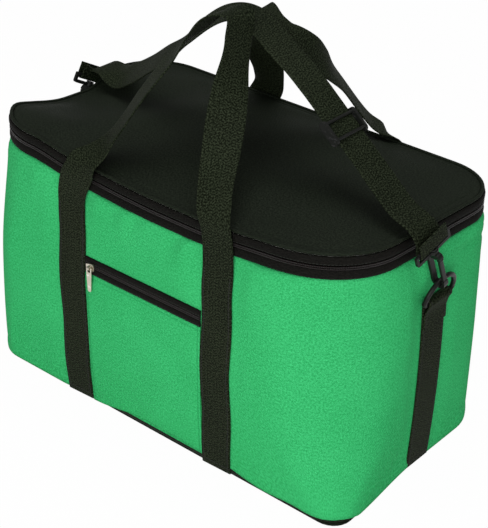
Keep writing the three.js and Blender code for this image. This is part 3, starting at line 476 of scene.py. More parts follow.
# %% Mesh helpers
def cloth_mesh(name, grid, across, along, shut_across=False, shut_along=False, caps=False):
    """A grid of points [across][along]; across and along hold distances on the flat cloth."""
    rows, columns = grid.shape[:2]
    faces, corners = [], []
    for i in range(rows if shut_across else rows - 1):
        j = (i + 1) % rows
        for k in range(columns if shut_along else columns - 1):
            m = (k + 1) % columns
            faces.append((i * columns + k, j * columns + k, j * columns + m, i * columns + m))
            corners += [(across[i], along[k]), (across[i + 1], along[k])]
            corners += [(across[i + 1], along[k + 1]), (across[i], along[k + 1])]
    if caps:
        faces.append(tuple(i * columns for i in reversed(range(rows))))
        corners += [(across[i], along[0]) for i in reversed(range(rows))]
        faces.append(tuple(i * columns + columns - 1 for i in range(rows)))
        corners += [(across[i], along[columns - 1]) for i in range(rows)]
    mesh = bpy.data.meshes.new(name)
    mesh.from_pydata(grid.reshape(-1, 3).tolist(), [], faces)
    mesh.uv_layers.new(name="cloth").data.foreach_set("uv", np.array(corners, dtype=np.float32).ravel())
    mesh.shade_smooth()
    mesh.validate()
    if caps:
        mesh.set_sharp_from_angle(angle=math.radians(70))
    piece = bpy.data.objects.new(name, mesh)
    bpy.context.collection.objects.link(piece)
    return piece


def dress(piece, finish, slot, *nodes):
    """Gives a piece its finish and hides the CAD nodes it stands for."""
    piece.data.materials.clear()
    piece.data.materials.append(finish)
    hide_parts(*nodes)
    print(piece.name, "points:", len(piece.data.vertices))
    return piece


def thicken(piece, thick):
    modifier = piece.modifiers.new("thickness", "SOLIDIFY")
    modifier.thickness = thick
    modifier.offset = -1.0
    return piece


print("mesh helpers ready")

# %% [markdown]
# ## Green body
# The outer fabric is one sheet sewn round the foam. It lies flat where webbing and pocket are sewn over it
# and puffs out between them, with small puckers at the zip and the base seam and gathers at the back right
# corner. It stays low where the mouth zip's pull swings. A cloth simulation would puff it too, but the
# seams fix where the folds lie, so seeded waves are added to the loft and faded out at each seam.

# %% Green body
dice = np.random.default_rng(11)


def waves(u, v, count, shortest, longest, stretch=1.0):
    """A sum of random waves over the cloth, about -1 to 1."""
    total = np.zeros(np.broadcast(u, v).shape)
    for _ in range(count):
        length = dice.uniform(shortest, longest)
        lean = dice.uniform(-0.5, 0.5) * math.pi * stretch
        phase = dice.uniform(0, 2 * math.pi)
        total += np.sin(2 * math.pi / length * (u * math.cos(lean) + v * math.sin(lean)) + phase)
    return total / math.sqrt(count) / 1.4


def between_seams(x, y, z):
    """1 where the body's fabric is free, 0 under webbing, pocket and ring tabs."""
    distance = np.abs(np.abs(x) - LEG_X) - 0.021
    free = ease(0.0, 0.022, distance)
    pocket = ease(0.183, 0.205, z) + ease(0.080, 0.086, np.abs(x))
    long_wall = free * np.clip(pocket, 0.0, 1.0)
    tab = np.maximum(ease(0.021, 0.045, np.abs(y - SIDE_SHIFT)), ease(0.212, 0.235, z))
    on_end = np.abs(x) > 0.200
    return np.where(on_end, tab, long_wall)


body_turns = turns_between(0, 8)
BODY_FOOT, HEM_TOP = 0.0093, 0.0300
body_heights = np.concatenate([
    np.linspace(BODY_FOOT, HEM_TOP, 7)[:-1],
    np.linspace(HEM_TOP, 0.222, 30)[:-1],
    np.linspace(0.222, 0.2600, 13),
])
turn_grid, height_grid = np.meshgrid(body_turns, body_heights, indexing="ij")
foot = wall(body_turns, 0.0)
on_front = ease(-0.100, -0.128, foot[:, 1])
shown_band = 0.0075 * ease(-0.125, -0.070, foot[:, 0]) * ease(0.170, 0.110, foot[:, 0]) * on_front
lifted_right = 0.0022 * ease(0.100, 0.130, foot[:, 0]) + 0.0034 * ease(0.160, 0.205, foot[:, 0])
hem = 0.0012 + shown_band + on_front * lifted_right
drop = np.clip((HEM_TOP - height_grid) / (HEM_TOP - BODY_FOOT), 0.0, 1.0)
height_grid = height_grid - (BODY_FOOT - hem)[:, None] * drop
over_band = 0.0016 * ease(0.0140, 0.0080, height_grid)
drawn_x, drawn_y = np.moveaxis(wall(turn_grid, height_grid), -1, 0)[:2]
body_round = run_length(wall(body_turns, 0.13), shut=True)
round_grid = body_round[:-1, None] + 0.0 * height_grid
near_rim = ease(0.205, 0.2585, height_grid)
near_base = ease(0.060, 0.012, height_grid)
broad_puff = 0.55 + 0.45 * waves(round_grid, height_grid, 7, 0.11, 0.30)
rim_pucker = waves(round_grid, 0.35 * height_grid, 9, 0.016, 0.046, 0.5)
base_pucker = waves(round_grid, 0.5 * height_grid, 7, 0.020, 0.050, 0.5)
free = between_seams(drawn_x, drawn_y, height_grid)
back_right = ease(0.190, 0.225, drawn_x) * ease(0.030, 0.080, drawn_y)
gathered = back_right * ease(0.215, 0.245, height_grid)
gathers = 0.4 + 0.8 * waves(height_grid, 0.35 * round_grid, 5, 0.013, 0.028, 0.4)
folds = 0.6 + 0.6 * waves(round_grid, 0.7 * height_grid, 6, 0.050, 0.110)
held = ease(0.2600, 0.2520, height_grid) * ease(0.0013, 0.0180, height_grid)
puff = 0.0040 * broad_puff + 0.0015 * rim_pucker * near_rim + 0.0008 * base_pucker * near_base
puff = puff + 0.0016 * folds * ease(0.080, 0.180, height_grid)
taut = ease(-0.190, -0.225, drawn_x) + back_right
puff = puff * (1.0 - 0.8 * taut) + 0.0022 * gathers * gathered
pull_room = ease(-0.130, -0.180, drawn_x) * ease(-0.010, 0.030, drawn_y) * ease(0.205, 0.230, height_grid)
puff = np.maximum(puff * free * held * (1.0 - pull_room), 0.0) + over_band
body_fabric = cloth_mesh(
    "body_fabric", wall(turn_grid, height_grid, puff), body_round, body_heights, shut_across=True)
dress(thicken(body_fabric, 0.0012), green_fabric, "green_fabric", "outer_shell")
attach(body_fabric, "bag")

# %% [markdown]
# ## Base
# A stiff board under black fabric closes the bottom, and its fabric turns up the wall as a narrow band. The
# band is a loft of a small rounded profile, so it catches the light as a real folded edge does.

# %% Base
def wall_band(name, profile, start=0, end=8):
    """A closed profile of (out, height) points carried round the wall."""
    turns = turns_between(start, end)
    shut = end - start == 8
    grid = np.stack([wall(turns, height, out) for out, height in profile], axis=1)
    around = run_length(grid[:, 0], shut=shut)
    edge = np.append(run_length(np.array(profile)), 0.0)
    piece = cloth_mesh(name, grid, around, edge, shut_across=shut, shut_along=True)
    if not shut:
        close_ends(piece)
    return piece


def close_ends(piece, within=1.0):
    """Fills the open ends of a piece that lie nearer than that to the bag's long middle plane."""
    made = bmesh.new()
    made.from_mesh(piece.data)
    rim = [edge for edge in made.edges if edge.is_boundary and abs(edge.verts[0].co.y) < within]
    bmesh.ops.holes_fill(made, edges=rim, sides=0)
    made.to_mesh(piece.data)
    made.free()


base_band = wall_band("base_edge", [
    (-0.0012, 0.0028), (-0.0003, 0.0028), (0.0006, 0.0040), (0.0009, 0.0060), (0.0007, 0.0080),
    (-0.0002, 0.0090), (-0.0012, 0.0090)])
dress(base_band, black_fabric, "black_fabric", "base_band")
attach(base_band, "bag")

board_turns = turns_between(0, 8, 0.5)
board_rings = [
    (-0.018, 0.0), (-0.0018, 0.0), (-0.0004, 0.0007), (0.0, 0.0014), (-0.0003, 0.0022), (-0.0012, 0.0025),
    (-0.018, 0.0025)]
board_grid = np.stack([wall(board_turns, 0.0, out) + (0.0, 0.0, height) for out, height in board_rings])
middle = np.array([[0.55, 0.06, 1.0]])
board_grid = np.concatenate([board_grid[:1] * middle, board_grid, board_grid[-1:] * middle])
board_across = np.linspace(0.0, 0.3, len(board_grid))
board_along = run_length(board_grid[3], shut=True)
base_board = cloth_mesh("base_board", board_grid, board_across, board_along, shut_along=True)
close_ends(base_board)
dress(base_board, black_fabric, "black_fabric", "base_panel")
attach(base_board, "bag")

# %% [markdown]
# ## Foam
# Foam sheets stand between the outer fabric and the lining. They are hidden while the bag is whole, and
# each is still a padded sheet in its own place.

# %% Foam
FOAM_LOW, FOAM_TOP = 0.0093, 0.2579
FOAM_NEAR, FOAM_FAR = 0.0016, 0.0073


def wall_foam(name, start, end, inset):
    turns = turns_between(start, end, 0.5)
    turns[0] += inset
    turns[-1] -= inset
    heights = np.linspace(FOAM_LOW, FOAM_TOP, 14)
    outer_face = wall(turns[:, None], heights[None], -FOAM_NEAR)
    inner_face = wall(turns[:, None], heights[None], -FOAM_FAR)
    grid = np.concatenate([outer_face, inner_face[:, ::-1]], axis=1)
    around = run_length(outer_face[:, 0])
    piece = cloth_mesh(name, grid, around, np.linspace(0.0, 0.5, grid.shape[1] + 1), shut_along=True)
    close_ends(piece)
    return piece


for side, start, end in (("front", 0, 1), ("right", 1, 4), ("back", 4, 5), ("left", 5, 8)):
    inset = 0.002 if side in ("front", "back") else 0.0
    pad = wall_foam(f"{side}_wall_foam", start, end, inset)
    dress(pad, foam_skin, "foam", f"{side}_foam")
    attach(pad, "bag")

# %% [markdown]
# ## Lining and rim binding
# The lining is a welded tub of silver film. Its walls follow the foam, its floor lies on the base foam, and
# shallow creases run through it. A black binding covers the edges of film, foam and fabric along the rim.

# %% Lining and rim binding
lining_turns = turns_between(0, 8, 0.6)
lining_heights = np.concatenate([[0.0097, 0.0110, 0.0150], np.linspace(0.022, 0.2572, 22)])
turn_grid, height_grid = np.meshgrid(lining_turns, lining_heights, indexing="ij")
lining_round = run_length(wall(lining_turns, 0.13, -0.008), shut=True)
crumple = 0.0009 * (1.0 + waves(lining_round[:-1, None] + 0 * height_grid, height_grid, 9, 0.03, 0.12))
tuck = 0.004 * ease(0.020, 0.0097, height_grid)
creased = np.clip(crumple, 0, 0.0022) * ease(0.2572, 0.240, height_grid)
film_walls = wall(turn_grid, height_grid, -0.0080 - creased - tuck)
floor_rings = [film_walls[:, 0] * (share, share, 1.0) for share in (0.93, 0.75, 0.5, 0.25)]
spine = film_walls[:, 0] * (0.10, 0.02, 1.0)
film_grid = np.concatenate([np.stack([spine] + floor_rings[::-1], axis=1), film_walls], axis=1)
film_up = run_length(film_grid[0])
lining = cloth_mesh("lining_tub", film_grid[:, ::-1], lining_round, film_up[::-1].copy(), shut_across=True)
close_ends(lining, 0.006)
dress(thicken(lining, 0.0006), lining_film, "liner", "liner")
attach(lining, "bag")

rim_binding = wall_band("mouth_binding", [
    (-0.0086, 0.2583), (-0.0016, 0.2583), (-0.0016, 0.2594), (-0.0024, 0.2599), (-0.0078, 0.2599),
    (-0.0086, 0.2594)])
dress(rim_binding, black_fabric, "black_fabric", "rim_binding")
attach(rim_binding, "bag")

# %% [markdown]
# ## Mouth zip and lid edge
# The zip goes round the mouth between two strips of black tape, and the coil shows as a thin line between
# them. Each tape is a soft folded strip, so its profile bulges.

# %% Mouth zip
lower_tape = wall_band("lower_tape", [
    (-0.0014, 0.2603), (0.0001, 0.2603), (0.0009, 0.2618), (0.0011, 0.2640), (0.0006, 0.2668),
    (-0.0002, 0.2688), (-0.0008, 0.2697), (-0.0014, 0.2697)])
dress(lower_tape, tape_fabric, "zip_tape", "lower_zip_tape")
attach(lower_tape, "bag")

upper_tape = wall_band("upper_tape", [
    (-0.0014, 0.2740), (-0.0008, 0.2740), (0.0002, 0.2752), (0.0010, 0.2778), (0.0011, 0.2804),
    (0.0004, 0.2826), (-0.0004, 0.2834), (-0.0014, 0.2834)])
dress(upper_tape, tape_fabric, "zip_tape", "upper_zip_tape")
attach(upper_tape, "lid")

for half, low, body in (("lower", 0.2700, "bag"), ("upper", 0.2720, "lid")):
    teeth = wall_band(f"{half}_teeth", [
        (-0.0012, low), (0.0002, low), (0.0007, low + 0.0004), (0.0008, low + 0.00085),
        (0.0007, low + 0.0013), (0.0002, low + 0.0017), (-0.0012, low + 0.0017)], 5, 12)
    dress(teeth, zip_teeth, "zip_coil", f"{half}_zip_coil")
    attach(teeth, body)

# %% [markdown]
# ## Lid
# The lid is a padded panel: black fabric over foam, with the silver film underneath and a piped edge. It is
# a grid of rings that shrink from the edge to a short spine in the middle, which suits a rounded rectangle
# better than a square grid. Topstitching pulls a groove near the edge, and the panel rises softly inside
# it.

# %% Lid
LID_FINENESS = 0.75
LID_HALF_LENGTH, LID_HALF_DEPTH = 0.2359, 0.1309
SPINE_FROM = 0.055


def lid_rings(edge_inset, insets, lift):
    """Rings of the lid's plan; lift(inset, x, y) gives the height above the lid's edge."""
    turns = turns_between(0, 8, LID_FINENESS)
    rings = []
    for inset in insets:
        ring = wall(turns, WALL_HEIGHT, -edge_inset - min(inset, SPINE_FROM))
        if inset > SPINE_FROM:
            share = (inset - SPINE_FROM) / (LID_HALF_DEPTH - SPINE_FROM)
            ring[:, 0] = ring[:, 0] * (1.0 - share * 0.38)
            ring[:, 1] = ring[:, 1] * (1.0 - share * 0.92)
            ring[:, 0] *= 1.0 + 0.06 * share * (1.0 - (ring[:, 1] / np.abs(ring[:, 1]).max()) ** 2)
        x, y = ring[:, 0], ring[:, 1]
        share_x, share_y = x / LID_HALF_LENGTH, y / LID_HALF_DEPTH
        dome = 0.012 * np.maximum(0.0, 1.0 - np.sqrt(share_x ** 4 + share_y ** 4))
        ring[:, 2] = LID_EDGE + dome - settle(x, y, WALL_HEIGHT + 0 * x) + lift(inset, x, y)
        rings.append(ring)
    return np.stack(rings)


def plan_mesh(name, rings, facing=1):
    """A mesh of rings whose cloth map is the plan itself."""
    count, around = rings.shape[:2]
    grid = rings if facing > 0 else rings[::-1]
    piece = cloth_mesh(name, grid, np.zeros(count + 1), np.zeros(around + 1), shut_along=True)
    opposite = np.count_nonzero(turns_between(0, 8, LID_FINENESS) < 5)
    left_middle = (opposite - around) // 2
    made = bmesh.new()
    made.from_mesh(piece.data)
    made.verts.ensure_lookup_table()
    for row, step in ((0, 1), (count - 1, -1)):
        if np.abs(grid[row, :, 1]).max() > 0.02:
            continue
        for k in range(left_middle, opposite // 2):
            pair = (k, k + 1)[::step]
            ring = [spot % around for spot in (*pair, opposite - pair[1], opposite - pair[0])]
            made.faces.new([made.verts[row * around + spot] for spot in dict.fromkeys(ring)]).smooth = True
    made.to_mesh(piece.data)
    made.free()
    spots = np.array([vertex.co[:2] for vertex in piece.data.vertices])
    loops = np.array([loop.vertex_index for loop in piece.data.loops])
    piece.data.uv_layers["cloth"].data.foreach_set("uv", spots[loops].astype(np.float32).ravel())
    return piece


LID_STEPS = [
    0, 0.0015, 0.003, 0.0045, 0.006, 0.0075, 0.009, 0.0105, 0.012, 0.015, 0.019, 0.024, 0.030, 0.038, 0.047,
    SPINE_FROM, 0.064, 0.074, 0.085, 0.096, 0.108, 0.120, LID_HALF_DEPTH]
rumples = dice.uniform(0, 2 * math.pi, 8)


def lid_relief(inset, x, y):
    groove = -0.0008 * math.exp(-((inset - 0.0075) / 0.0016) ** 2)
    roll_over = -0.0006 * math.exp(-inset / 0.0012)
    soft = ease(0.010, 0.035, inset)
    ripple = np.sin(31 * x + 17 * y + rumples[0]) + np.sin(-22 * x + 38 * y + rumples[1])
    ripple = ripple + np.sin(57 * x - 26 * y + rumples[2]) + 0.6 * np.sin(64 * x + 71 * y + rumples[3])
    return 0.0012 + groove + roll_over + soft * 0.0007 * ripple


def film_relief(inset, x, y):
    return -0.0069 + 0.0004 * np.sin(90 * x + 40 * y)


lid_fabric = plan_mesh("lid_fabric", lid_rings(0.0041, LID_STEPS, lid_relief))
dress(thicken(lid_fabric, 0.0010), black_fabric, "black_fabric", "lid_cover")
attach(lid_fabric, "lid")

foam_top = lid_rings(0.0045, LID_STEPS[::3], lambda inset, x, y: -0.0012)
foam_low = lid_rings(0.0045, LID_STEPS[::3], lambda inset, x, y: -0.0062)
lid_pad = plan_mesh("lid_foam_pad", np.concatenate([foam_top[::-1], foam_low])[::-1])
dress(lid_pad, foam_skin, "foam", "lid_foam")
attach(lid_pad, "lid")

lid_lining = plan_mesh("lid_lining", lid_rings(0.0040, LID_STEPS[::2], film_relief), -1)
dress(thicken(lid_lining, 0.0006), lining_film, "liner", "lid_liner")
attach(lid_lining, "lid")

# %% [markdown]
# ## Piping
# A cord wrapped in fabric is sewn into the lid's edge. It is a round tube along the rim, made as a small
# circle carried round the wall like the tapes.

# %% Piping
PIPING = 0.0018
circle = []
for angle in np.linspace(-math.pi / 2, 1.5 * math.pi, 13)[:-1]:
    circle.append((-0.0020 + PIPING * math.cos(angle), LID_EDGE + PIPING + PIPING * math.sin(angle)))
piping = wall_band("lid_piping_cord", circle)
dress(piping, black_fabric, "black_fabric", "lid_piping")
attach(piping, "lid")

# %% [markdown]
# ## Cloth hinge
# Along the back a strip of fabric joins lid and body in place of the zip.

# %% Cloth hinge
hinge_turns = turns_between(4, 5, 0.5)
hinge_up = np.linspace(0.2620, 0.2817, 14)
hinge_profile = [(0.0013, z) for z in hinge_up] + [(0.0003, z) for z in hinge_up[::-1]]
hinge_grid = np.stack([wall(hinge_turns, z, out) for out, z in hinge_profile], axis=1)
hinge_across = run_length(hinge_grid[:, 0])
hinge = cloth_mesh("back_hinge", hinge_grid, hinge_across, np.linspace(0, 0.042, 29), shut_along=True)
close_ends(hinge)
dress(hinge, tape_fabric, "black_fabric", "hinge_tape")
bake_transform(hinge)

# %% [markdown]
# ## Webbing
# Webbing is modelled directly as a ribbon: a flat section with rounded edges carried along a path. The
# paths are smooth curves through a few points, on or near those of the CAD model.

# %% Webbing helpers
WEB_WIDTH, WEB_THICK = 0.038, 0.0018


def smooth_path(points, spacing=0.004):
    """Evenly spaced points on a centripetal Catmull-Rom curve."""
    points = np.array(points, float)
    ends = [2 * points[0] - points[1], *points, 2 * points[-1] - points[-2]]
    curve = [points[0]]
    for before, start, end, after in zip(ends, ends[1:], ends[2:], ends[3:]):
        pairs = ((before, start), (start, end), (end, after))
        first, middle, last = (math.sqrt(np.linalg.norm(b - a)) for a, b in pairs)
        leave = (start - before) / first - (end - before) / (first + middle) + (end - start) / middle
        arrive = (end - start) / middle - (after - start) / (middle + last) + (after - end) / last
        leave, arrive = leave * middle, arrive * middle
        for share in np.linspace(0, 1, 33)[1:]:
            cubic = 2 * start - 2 * end + leave + arrive
            square = -3 * start + 3 * end - 2 * leave - arrive
            curve.append(((cubic * share + square) * share + leave) * share + start)
    return even_path(np.array(curve), spacing)


def even_path(curve, spacing):
    run = run_length(curve)
    wanted = np.linspace(0, run[-1], max(3, int(run[-1] / spacing) + 1))
    return np.stack([np.interp(wanted, run, curve[:, axis]) for axis in range(3)], axis=1)


def ribbon(name, path, wide):
    """A webbing band along a path; wide gives the direction across it at each point."""
    tangent = np.gradient(path, axis=0)
    tangent /= np.linalg.norm(tangent, axis=1, keepdims=True)
    side = wide - np.sum(wide * tangent, axis=1, keepdims=True) * tangent
    side /= np.linalg.norm(side, axis=1, keepdims=True)
    face = np.cross(tangent, side)
    shares = np.array([-1, -0.985, -0.955, -0.9, -0.6, -0.3, 0, 0.3, 0.6, 0.9, 0.955, 0.985])
    lifts = np.array([0, 0.55, 0.9, 1, 1, 1, 1, 1, 1, 1, 0.9, 0.55])
    across = np.concatenate([shares, -shares]) * WEB_WIDTH / 2
    lift = np.concatenate([lifts, -lifts]) * WEB_THICK / 2
    grid = path[None] + across[:, None, None] * side[None] + lift[:, None, None] * face[None]
    return cloth_mesh(name, grid, np.append(across, across[0]), run_length(path), shut_across=True, caps=True)


print("webbing width", WEB_WIDTH, "thickness", WEB_THICK)

# %% [markdown]
# ## Sewn webbing
# Four lengths of webbing are sewn up the long walls from the base. They carry the load to the bottom of the
# bag, and stitching runs along both of their edges.

# %% Sewn webbing
SEWN_TOP = 0.2312
SEAM_OUT = 0.0012


def wall_path(turn_side, x):
    heights = np.linspace(0.001, SEWN_TOP, 70)
    y = turn_side * (HALF_DEPTH + bulge(heights) + SEAM_OUT)
    z = heights - (settle(np.zeros_like(y), y, heights) if turn_side > 0 else 0.0)
    sway = 0.0011 * np.sin(heights / 0.017 + 40 * x)
    return np.stack([x + sway * ease(SEWN_TOP, 0.200, heights), y, z], axis=1)


FLAT_ACROSS = np.array([[1.0, 0.0, 0.0]])
for wall_name, side in (("front", -1), ("back", 1)):
    for hand, x in (("left", -LEG_X), ("right", LEG_X)):
        leg = ribbon(f"{wall_name}_{hand}_leg", wall_path(side, x), side * -FLAT_ACROSS)
        dress(leg, sewn_webbing, "webbing", f"{wall_name}_{hand}_webbing")
        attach(leg, "bag")

# %% [markdown]
# ## Carrying handles
# Above the walls the webbing runs free in two loops that lean together over the lid. Each loop stays sewn at
# its feet.

# %% Carrying handles
FRONT_ROUTE = [
    (98, -138.15, 231.15), (98, -138.15, 247.15), (97, -138.15, 265.15), (93, -138.15, 286), (84, -128, 302),
    (66, -98, 334), (41, -54, 386), (34, -38, 418), (27, -29, 438), (6, -33, 435), (-14, -46, 413),
    (-32, -68, 382), (-48, -90, 348), (-60, -106, 319),
    (-70, -124, 298), (-78, -136.5, 287.5), (-86, -139.3, 272),
    (-94, -138.6, 257), (-97.5, -138.2, 243), (-98, -138.15, 231.15)]
BACK_ROUTE = [
    (98, 138.15, 218.75), (98, 138.15, 234.75), (97, 138.15, 252.75), (91, 138.15, 274), (75, 127, 289),
    (57, 98, 335), (56, 72, 364), (50, 48, 385), (37, 30, 402), (14, 28, 414), (-10, 42, 411), (-34, 74, 376),
    (-50, 104, 334), (-62, 126, 300), (-72, 137.8, 279), (-82, 138.6, 262), (-92, 138.3, 246),
    (-97, 138.15, 230), (-98, 138.15, 218.75)]


def loop_direction(count, facing):
    """Flat against the wall at both feet, upright across the top, as a loop twists when it is gathered."""
    share = np.linspace(0, 1, count)
    if facing > 0:
        angle = 90 * ease(0.13, 0.42, share) + 42 * ease(0.54, 0.66, share) + 48 * ease(0.81, 0.905, share)
    else:
        angle = 48 * ease(0.07, 0.13, share) + 42 * ease(0.27, 0.40, share) + 90 * ease(0.58, 0.87, share)
    angle = np.radians(angle)
    return np.stack([facing * np.cos(angle), np.sin(angle), 0 * angle], axis=1)


LOOPS = (("front", FRONT_ROUTE, 1, 0.231), ("back", BACK_ROUTE, -1, 0.2187))
for wall_name, route, facing, foot in LOOPS:
    path = smooth_path(MM * np.array(route))
    loop = ribbon(f"{wall_name}_handle", path, loop_direction(len(path), facing))
    dress(loop, plain_webbing, "webbing", f"{wall_name}_handle_loop")
    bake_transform(loop)
    print("length", round(float(run_length(path)[-1]), 3), "m")

# %% [markdown]
# ## Front pocket
# A flat pocket is sewn between the two front legs, with a zip across its top. Its panel is one sheet of the
# body's fabric, sewn down at the sides and the base. It is bare and puffs slightly, and its lower edge is
# drawn up so that the band round the base shows.

# %% Front pocket
POCKET_HALF = 0.0784
panel_across = np.linspace(-POCKET_HALF, POCKET_HALF, 53)
panel_up = np.linspace(0.001, 0.163, 55)
x_grid, z_grid = np.meshgrid(panel_across, panel_up, indexing="ij")
lifted = 0.0112 * ease(-0.078, 0.000, x_grid) * (1.0 - 0.2 * ease(0.040, 0.078, x_grid))
z_grid = z_grid + lifted * np.clip((0.040 - z_grid) / 0.039, 0.0, 1.0)
lean = HALF_DEPTH + bulge(z_grid) + 0.0015
hold = ease(POCKET_HALF, 0.060, np.abs(x_grid)) * ease(0.001, 0.022, z_grid) * ease(0.163, 0.150, z_grid)
pocket_puff = 0.0024 * hold * np.clip(0.6 + 0.6 * waves(x_grid, z_grid, 6, 0.05, 0.16), 0, 1.3)
panel_grid = np.stack([x_grid, -(lean + pocket_puff), z_grid], axis=-1)
pocket = cloth_mesh("pocket_cloth", panel_grid, panel_across, panel_up)
dress(thicken(pocket, 0.0011), pocket_fabric, "green_fabric", "pocket_panel")
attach(pocket, "bag")


def straight_band(name, profile):
    """A closed profile of (out, height) points carried straight along the front wall."""
    xs = np.linspace(-POCKET_HALF, POCKET_HALF, 60)
    lines = []
    for out, height in profile:
        depth = -(HALF_DEPTH + bulge(height) + out)
        lines.append(np.stack([xs, depth + 0 * xs, height + 0 * xs], axis=1))
    edge = np.append(run_length(np.array(profile)), 0.0)
    piece = cloth_mesh(name, np.stack(lines, axis=1), xs, edge, shut_along=True)
    close_ends(piece)
    return piece


for half, low in (("lower", 0.1633), ("upper", 0.1746)):
    tape = straight_band(f"pocket_{half}_strip", [
        (0.0004, low), (0.0014, low), (0.0018, low + 0.0010), (0.0018, low + 0.0060), (0.0014, low + 0.0070),
        (0.0004, low + 0.0070)])
    dress(tape, tape_fabric, "zip_tape", f"pocket_{half}_tape")
    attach(tape, "bag")
for half, low in (("lower", 0.1706), ("upper", 0.1726)):
    teeth = straight_band(f"pocket_{half}_teeth", [
        (0.0004, low), (0.0014, low), (0.0019, low + 0.0005), (0.0020, low + 0.00085), (0.0019, low + 0.0012),
        (0.0014, low + 0.0017), (0.0004, low + 0.0017)])
    dress(teeth, zip_teeth, "zip_coil", f"pocket_{half}_coil")
    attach(teeth, "bag")

# %% [markdown]
# ## Ring tabs
# On each short side a length of webbing runs up the wall, folds over the straight bar of a ring and is sewn
# back down on itself.

# %% Ring tabs
RING_PIVOT = np.array([0.24847, SIDE_SHIFT, 0.199378])
TAB_TURN = 0.0040
SEWN_BACK = ((0.198, 0.0057), (0.190, 0.0033), (0.182, 0.0033), (0.175, 0.0033))


def end_wall(height, out):
    return [HALF_LENGTH + bulge(height) + out, SIDE_SHIFT, height - slope_drop(SIDE_SHIFT, height)]


tab_path = [end_wall(z, SEAM_OUT) for z in np.linspace(0.001, 0.201, 60)]
for angle in np.linspace(math.pi, math.radians(-24), 14):
    tab_path.append(RING_PIVOT + TAB_TURN * np.array([math.cos(angle), 0.0, math.sin(angle)]))
tab_path += [end_wall(height, out) for height, out in SEWN_BACK]
tab_path = np.array(tab_path)
for hand, sign in (("right", 1), ("left", -1)):
    route = tab_path * (sign, 1, 1)
    tab = ribbon(f"{hand}_tab", route, np.array([[0.0, float(sign), 0.0]]))
    dress(tab, sewn_webbing, "webbing", f"{hand}_ring_tab")
    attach(tab, "bag")

# %% [markdown]
# ## Shoulder strap
# The strap is one length of webbing. Each end passes round the rail of its fitting and is sewn back, and
# the strap stands in an arch over the lid. Its ends lean with the hooks, so their points go through the
# same turn.

# %% Shoulder strap
RAIL_TURN, RAIL_X, RAIL_Z = 3.463, 255.001, 276.276
LEANS = {1: math.radians(22), -1: math.radians(30)}
RING_LEAN = math.radians(14)
STRAP_STEP = 4


def hanging(point, hand):
    """A place on the right-hand fitting, drawn upright, moved to where the fitting hangs."""
    x, y, z = point
    placed = Vector((hand * x, hand * y + SIDE_SHIFT / MM, z))
    centre = Vector((hand * 249.437, SIDE_SHIFT / MM, 203.259))
    axis = Vector((hand * math.cos(RING_LEAN), 0, -math.sin(RING_LEAN)))
    return centre + Matrix.Rotation(LEANS[hand], 3, axis) @ (placed - centre)


def strap_end(hand):
    points = [(RAIL_X + RAIL_TURN, 0, RAIL_Z + 14)]
    for angle in np.linspace(0, -math.pi, 13):
        points.append((RAIL_X + RAIL_TURN * math.cos(angle), 0, RAIL_Z + RAIL_TURN * math.sin(angle)))
    points.append((RAIL_X - RAIL_TURN, 0, RAIL_Z + 4))
    return [tuple(hanging(point, hand)) for point in points]


right_end, left_end = strap_end(1), strap_end(-1)
right_rise = smooth_path([
    right_end.pop(), (248, -23, 284), (241, -25, 292), (222, -24, 299), (178, -14, 324)], STRAP_STEP)
over_top = smooth_path([
    (112, -14, 379.3), (88, -12, 395), (64, -8, 406), (40, -1, 415), (18, 4, 422), (-4, 6, 421),
    (-32, 8, 409), (-62, 8, 385), (-90, 10, 357),
    (-119, 16, 337), (-150, 22, 314), (-190, 34, 291), (-222, 47, 285),
    (-241, 52, 281.5), (-249, 51, 276), left_end.pop()], STRAP_STEP)
straight = np.linspace(right_rise[-1], over_top[0], 24)[1:-1]
strap_path = MM * np.concatenate([right_end, right_rise, straight, over_top, left_end[::-1]])
strap_run = run_length(strap_path)
from_end = np.minimum(strap_run, strap_run[-1] - strap_run)[:, None] / strap_run[-1]
leaning = [np.array(hanging((0, 1, 0), hand) - hanging((0, 0, 0), hand)) for hand in (1, -1)]
first_half = (strap_run < strap_run[-1] / 2)[:, None]
strap_wide = np.where(first_half, leaning[0], -leaning[1])
settled = ease(0.028, 0.054, from_end)
tilt = math.radians(35) * ease(0.030, -0.060, strap_path[:, 0]) * ease(-0.226, -0.185, strap_path[:, 0])
tilted = np.stack([0 * tilt, np.cos(tilt), np.sin(tilt)], axis=1)
strap_wide = strap_wide * (1 - settled) + tilted * settled
strap = ribbon("carry_strap", strap_path, strap_wide)
dress(strap, plain_webbing, "webbing", "shoulder_strap")
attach(strap, "bag")
print("strap length", round(float(strap_run[-1]), 3), "m")

# %% [markdown]
# ## Hard fittings
# Hooks, gates, loops, slide, sliders and pulls keep their CAD shapes, but their edges are razor sharp. A
# copy of each is cleaned of needless edges and gets small bevels, because real moulded and cast edges are
# round and catch a line of light. The rings are also made 0.2 mm slimmer all round, which keeps them clear
# of the hooks. The copy takes the node's place.

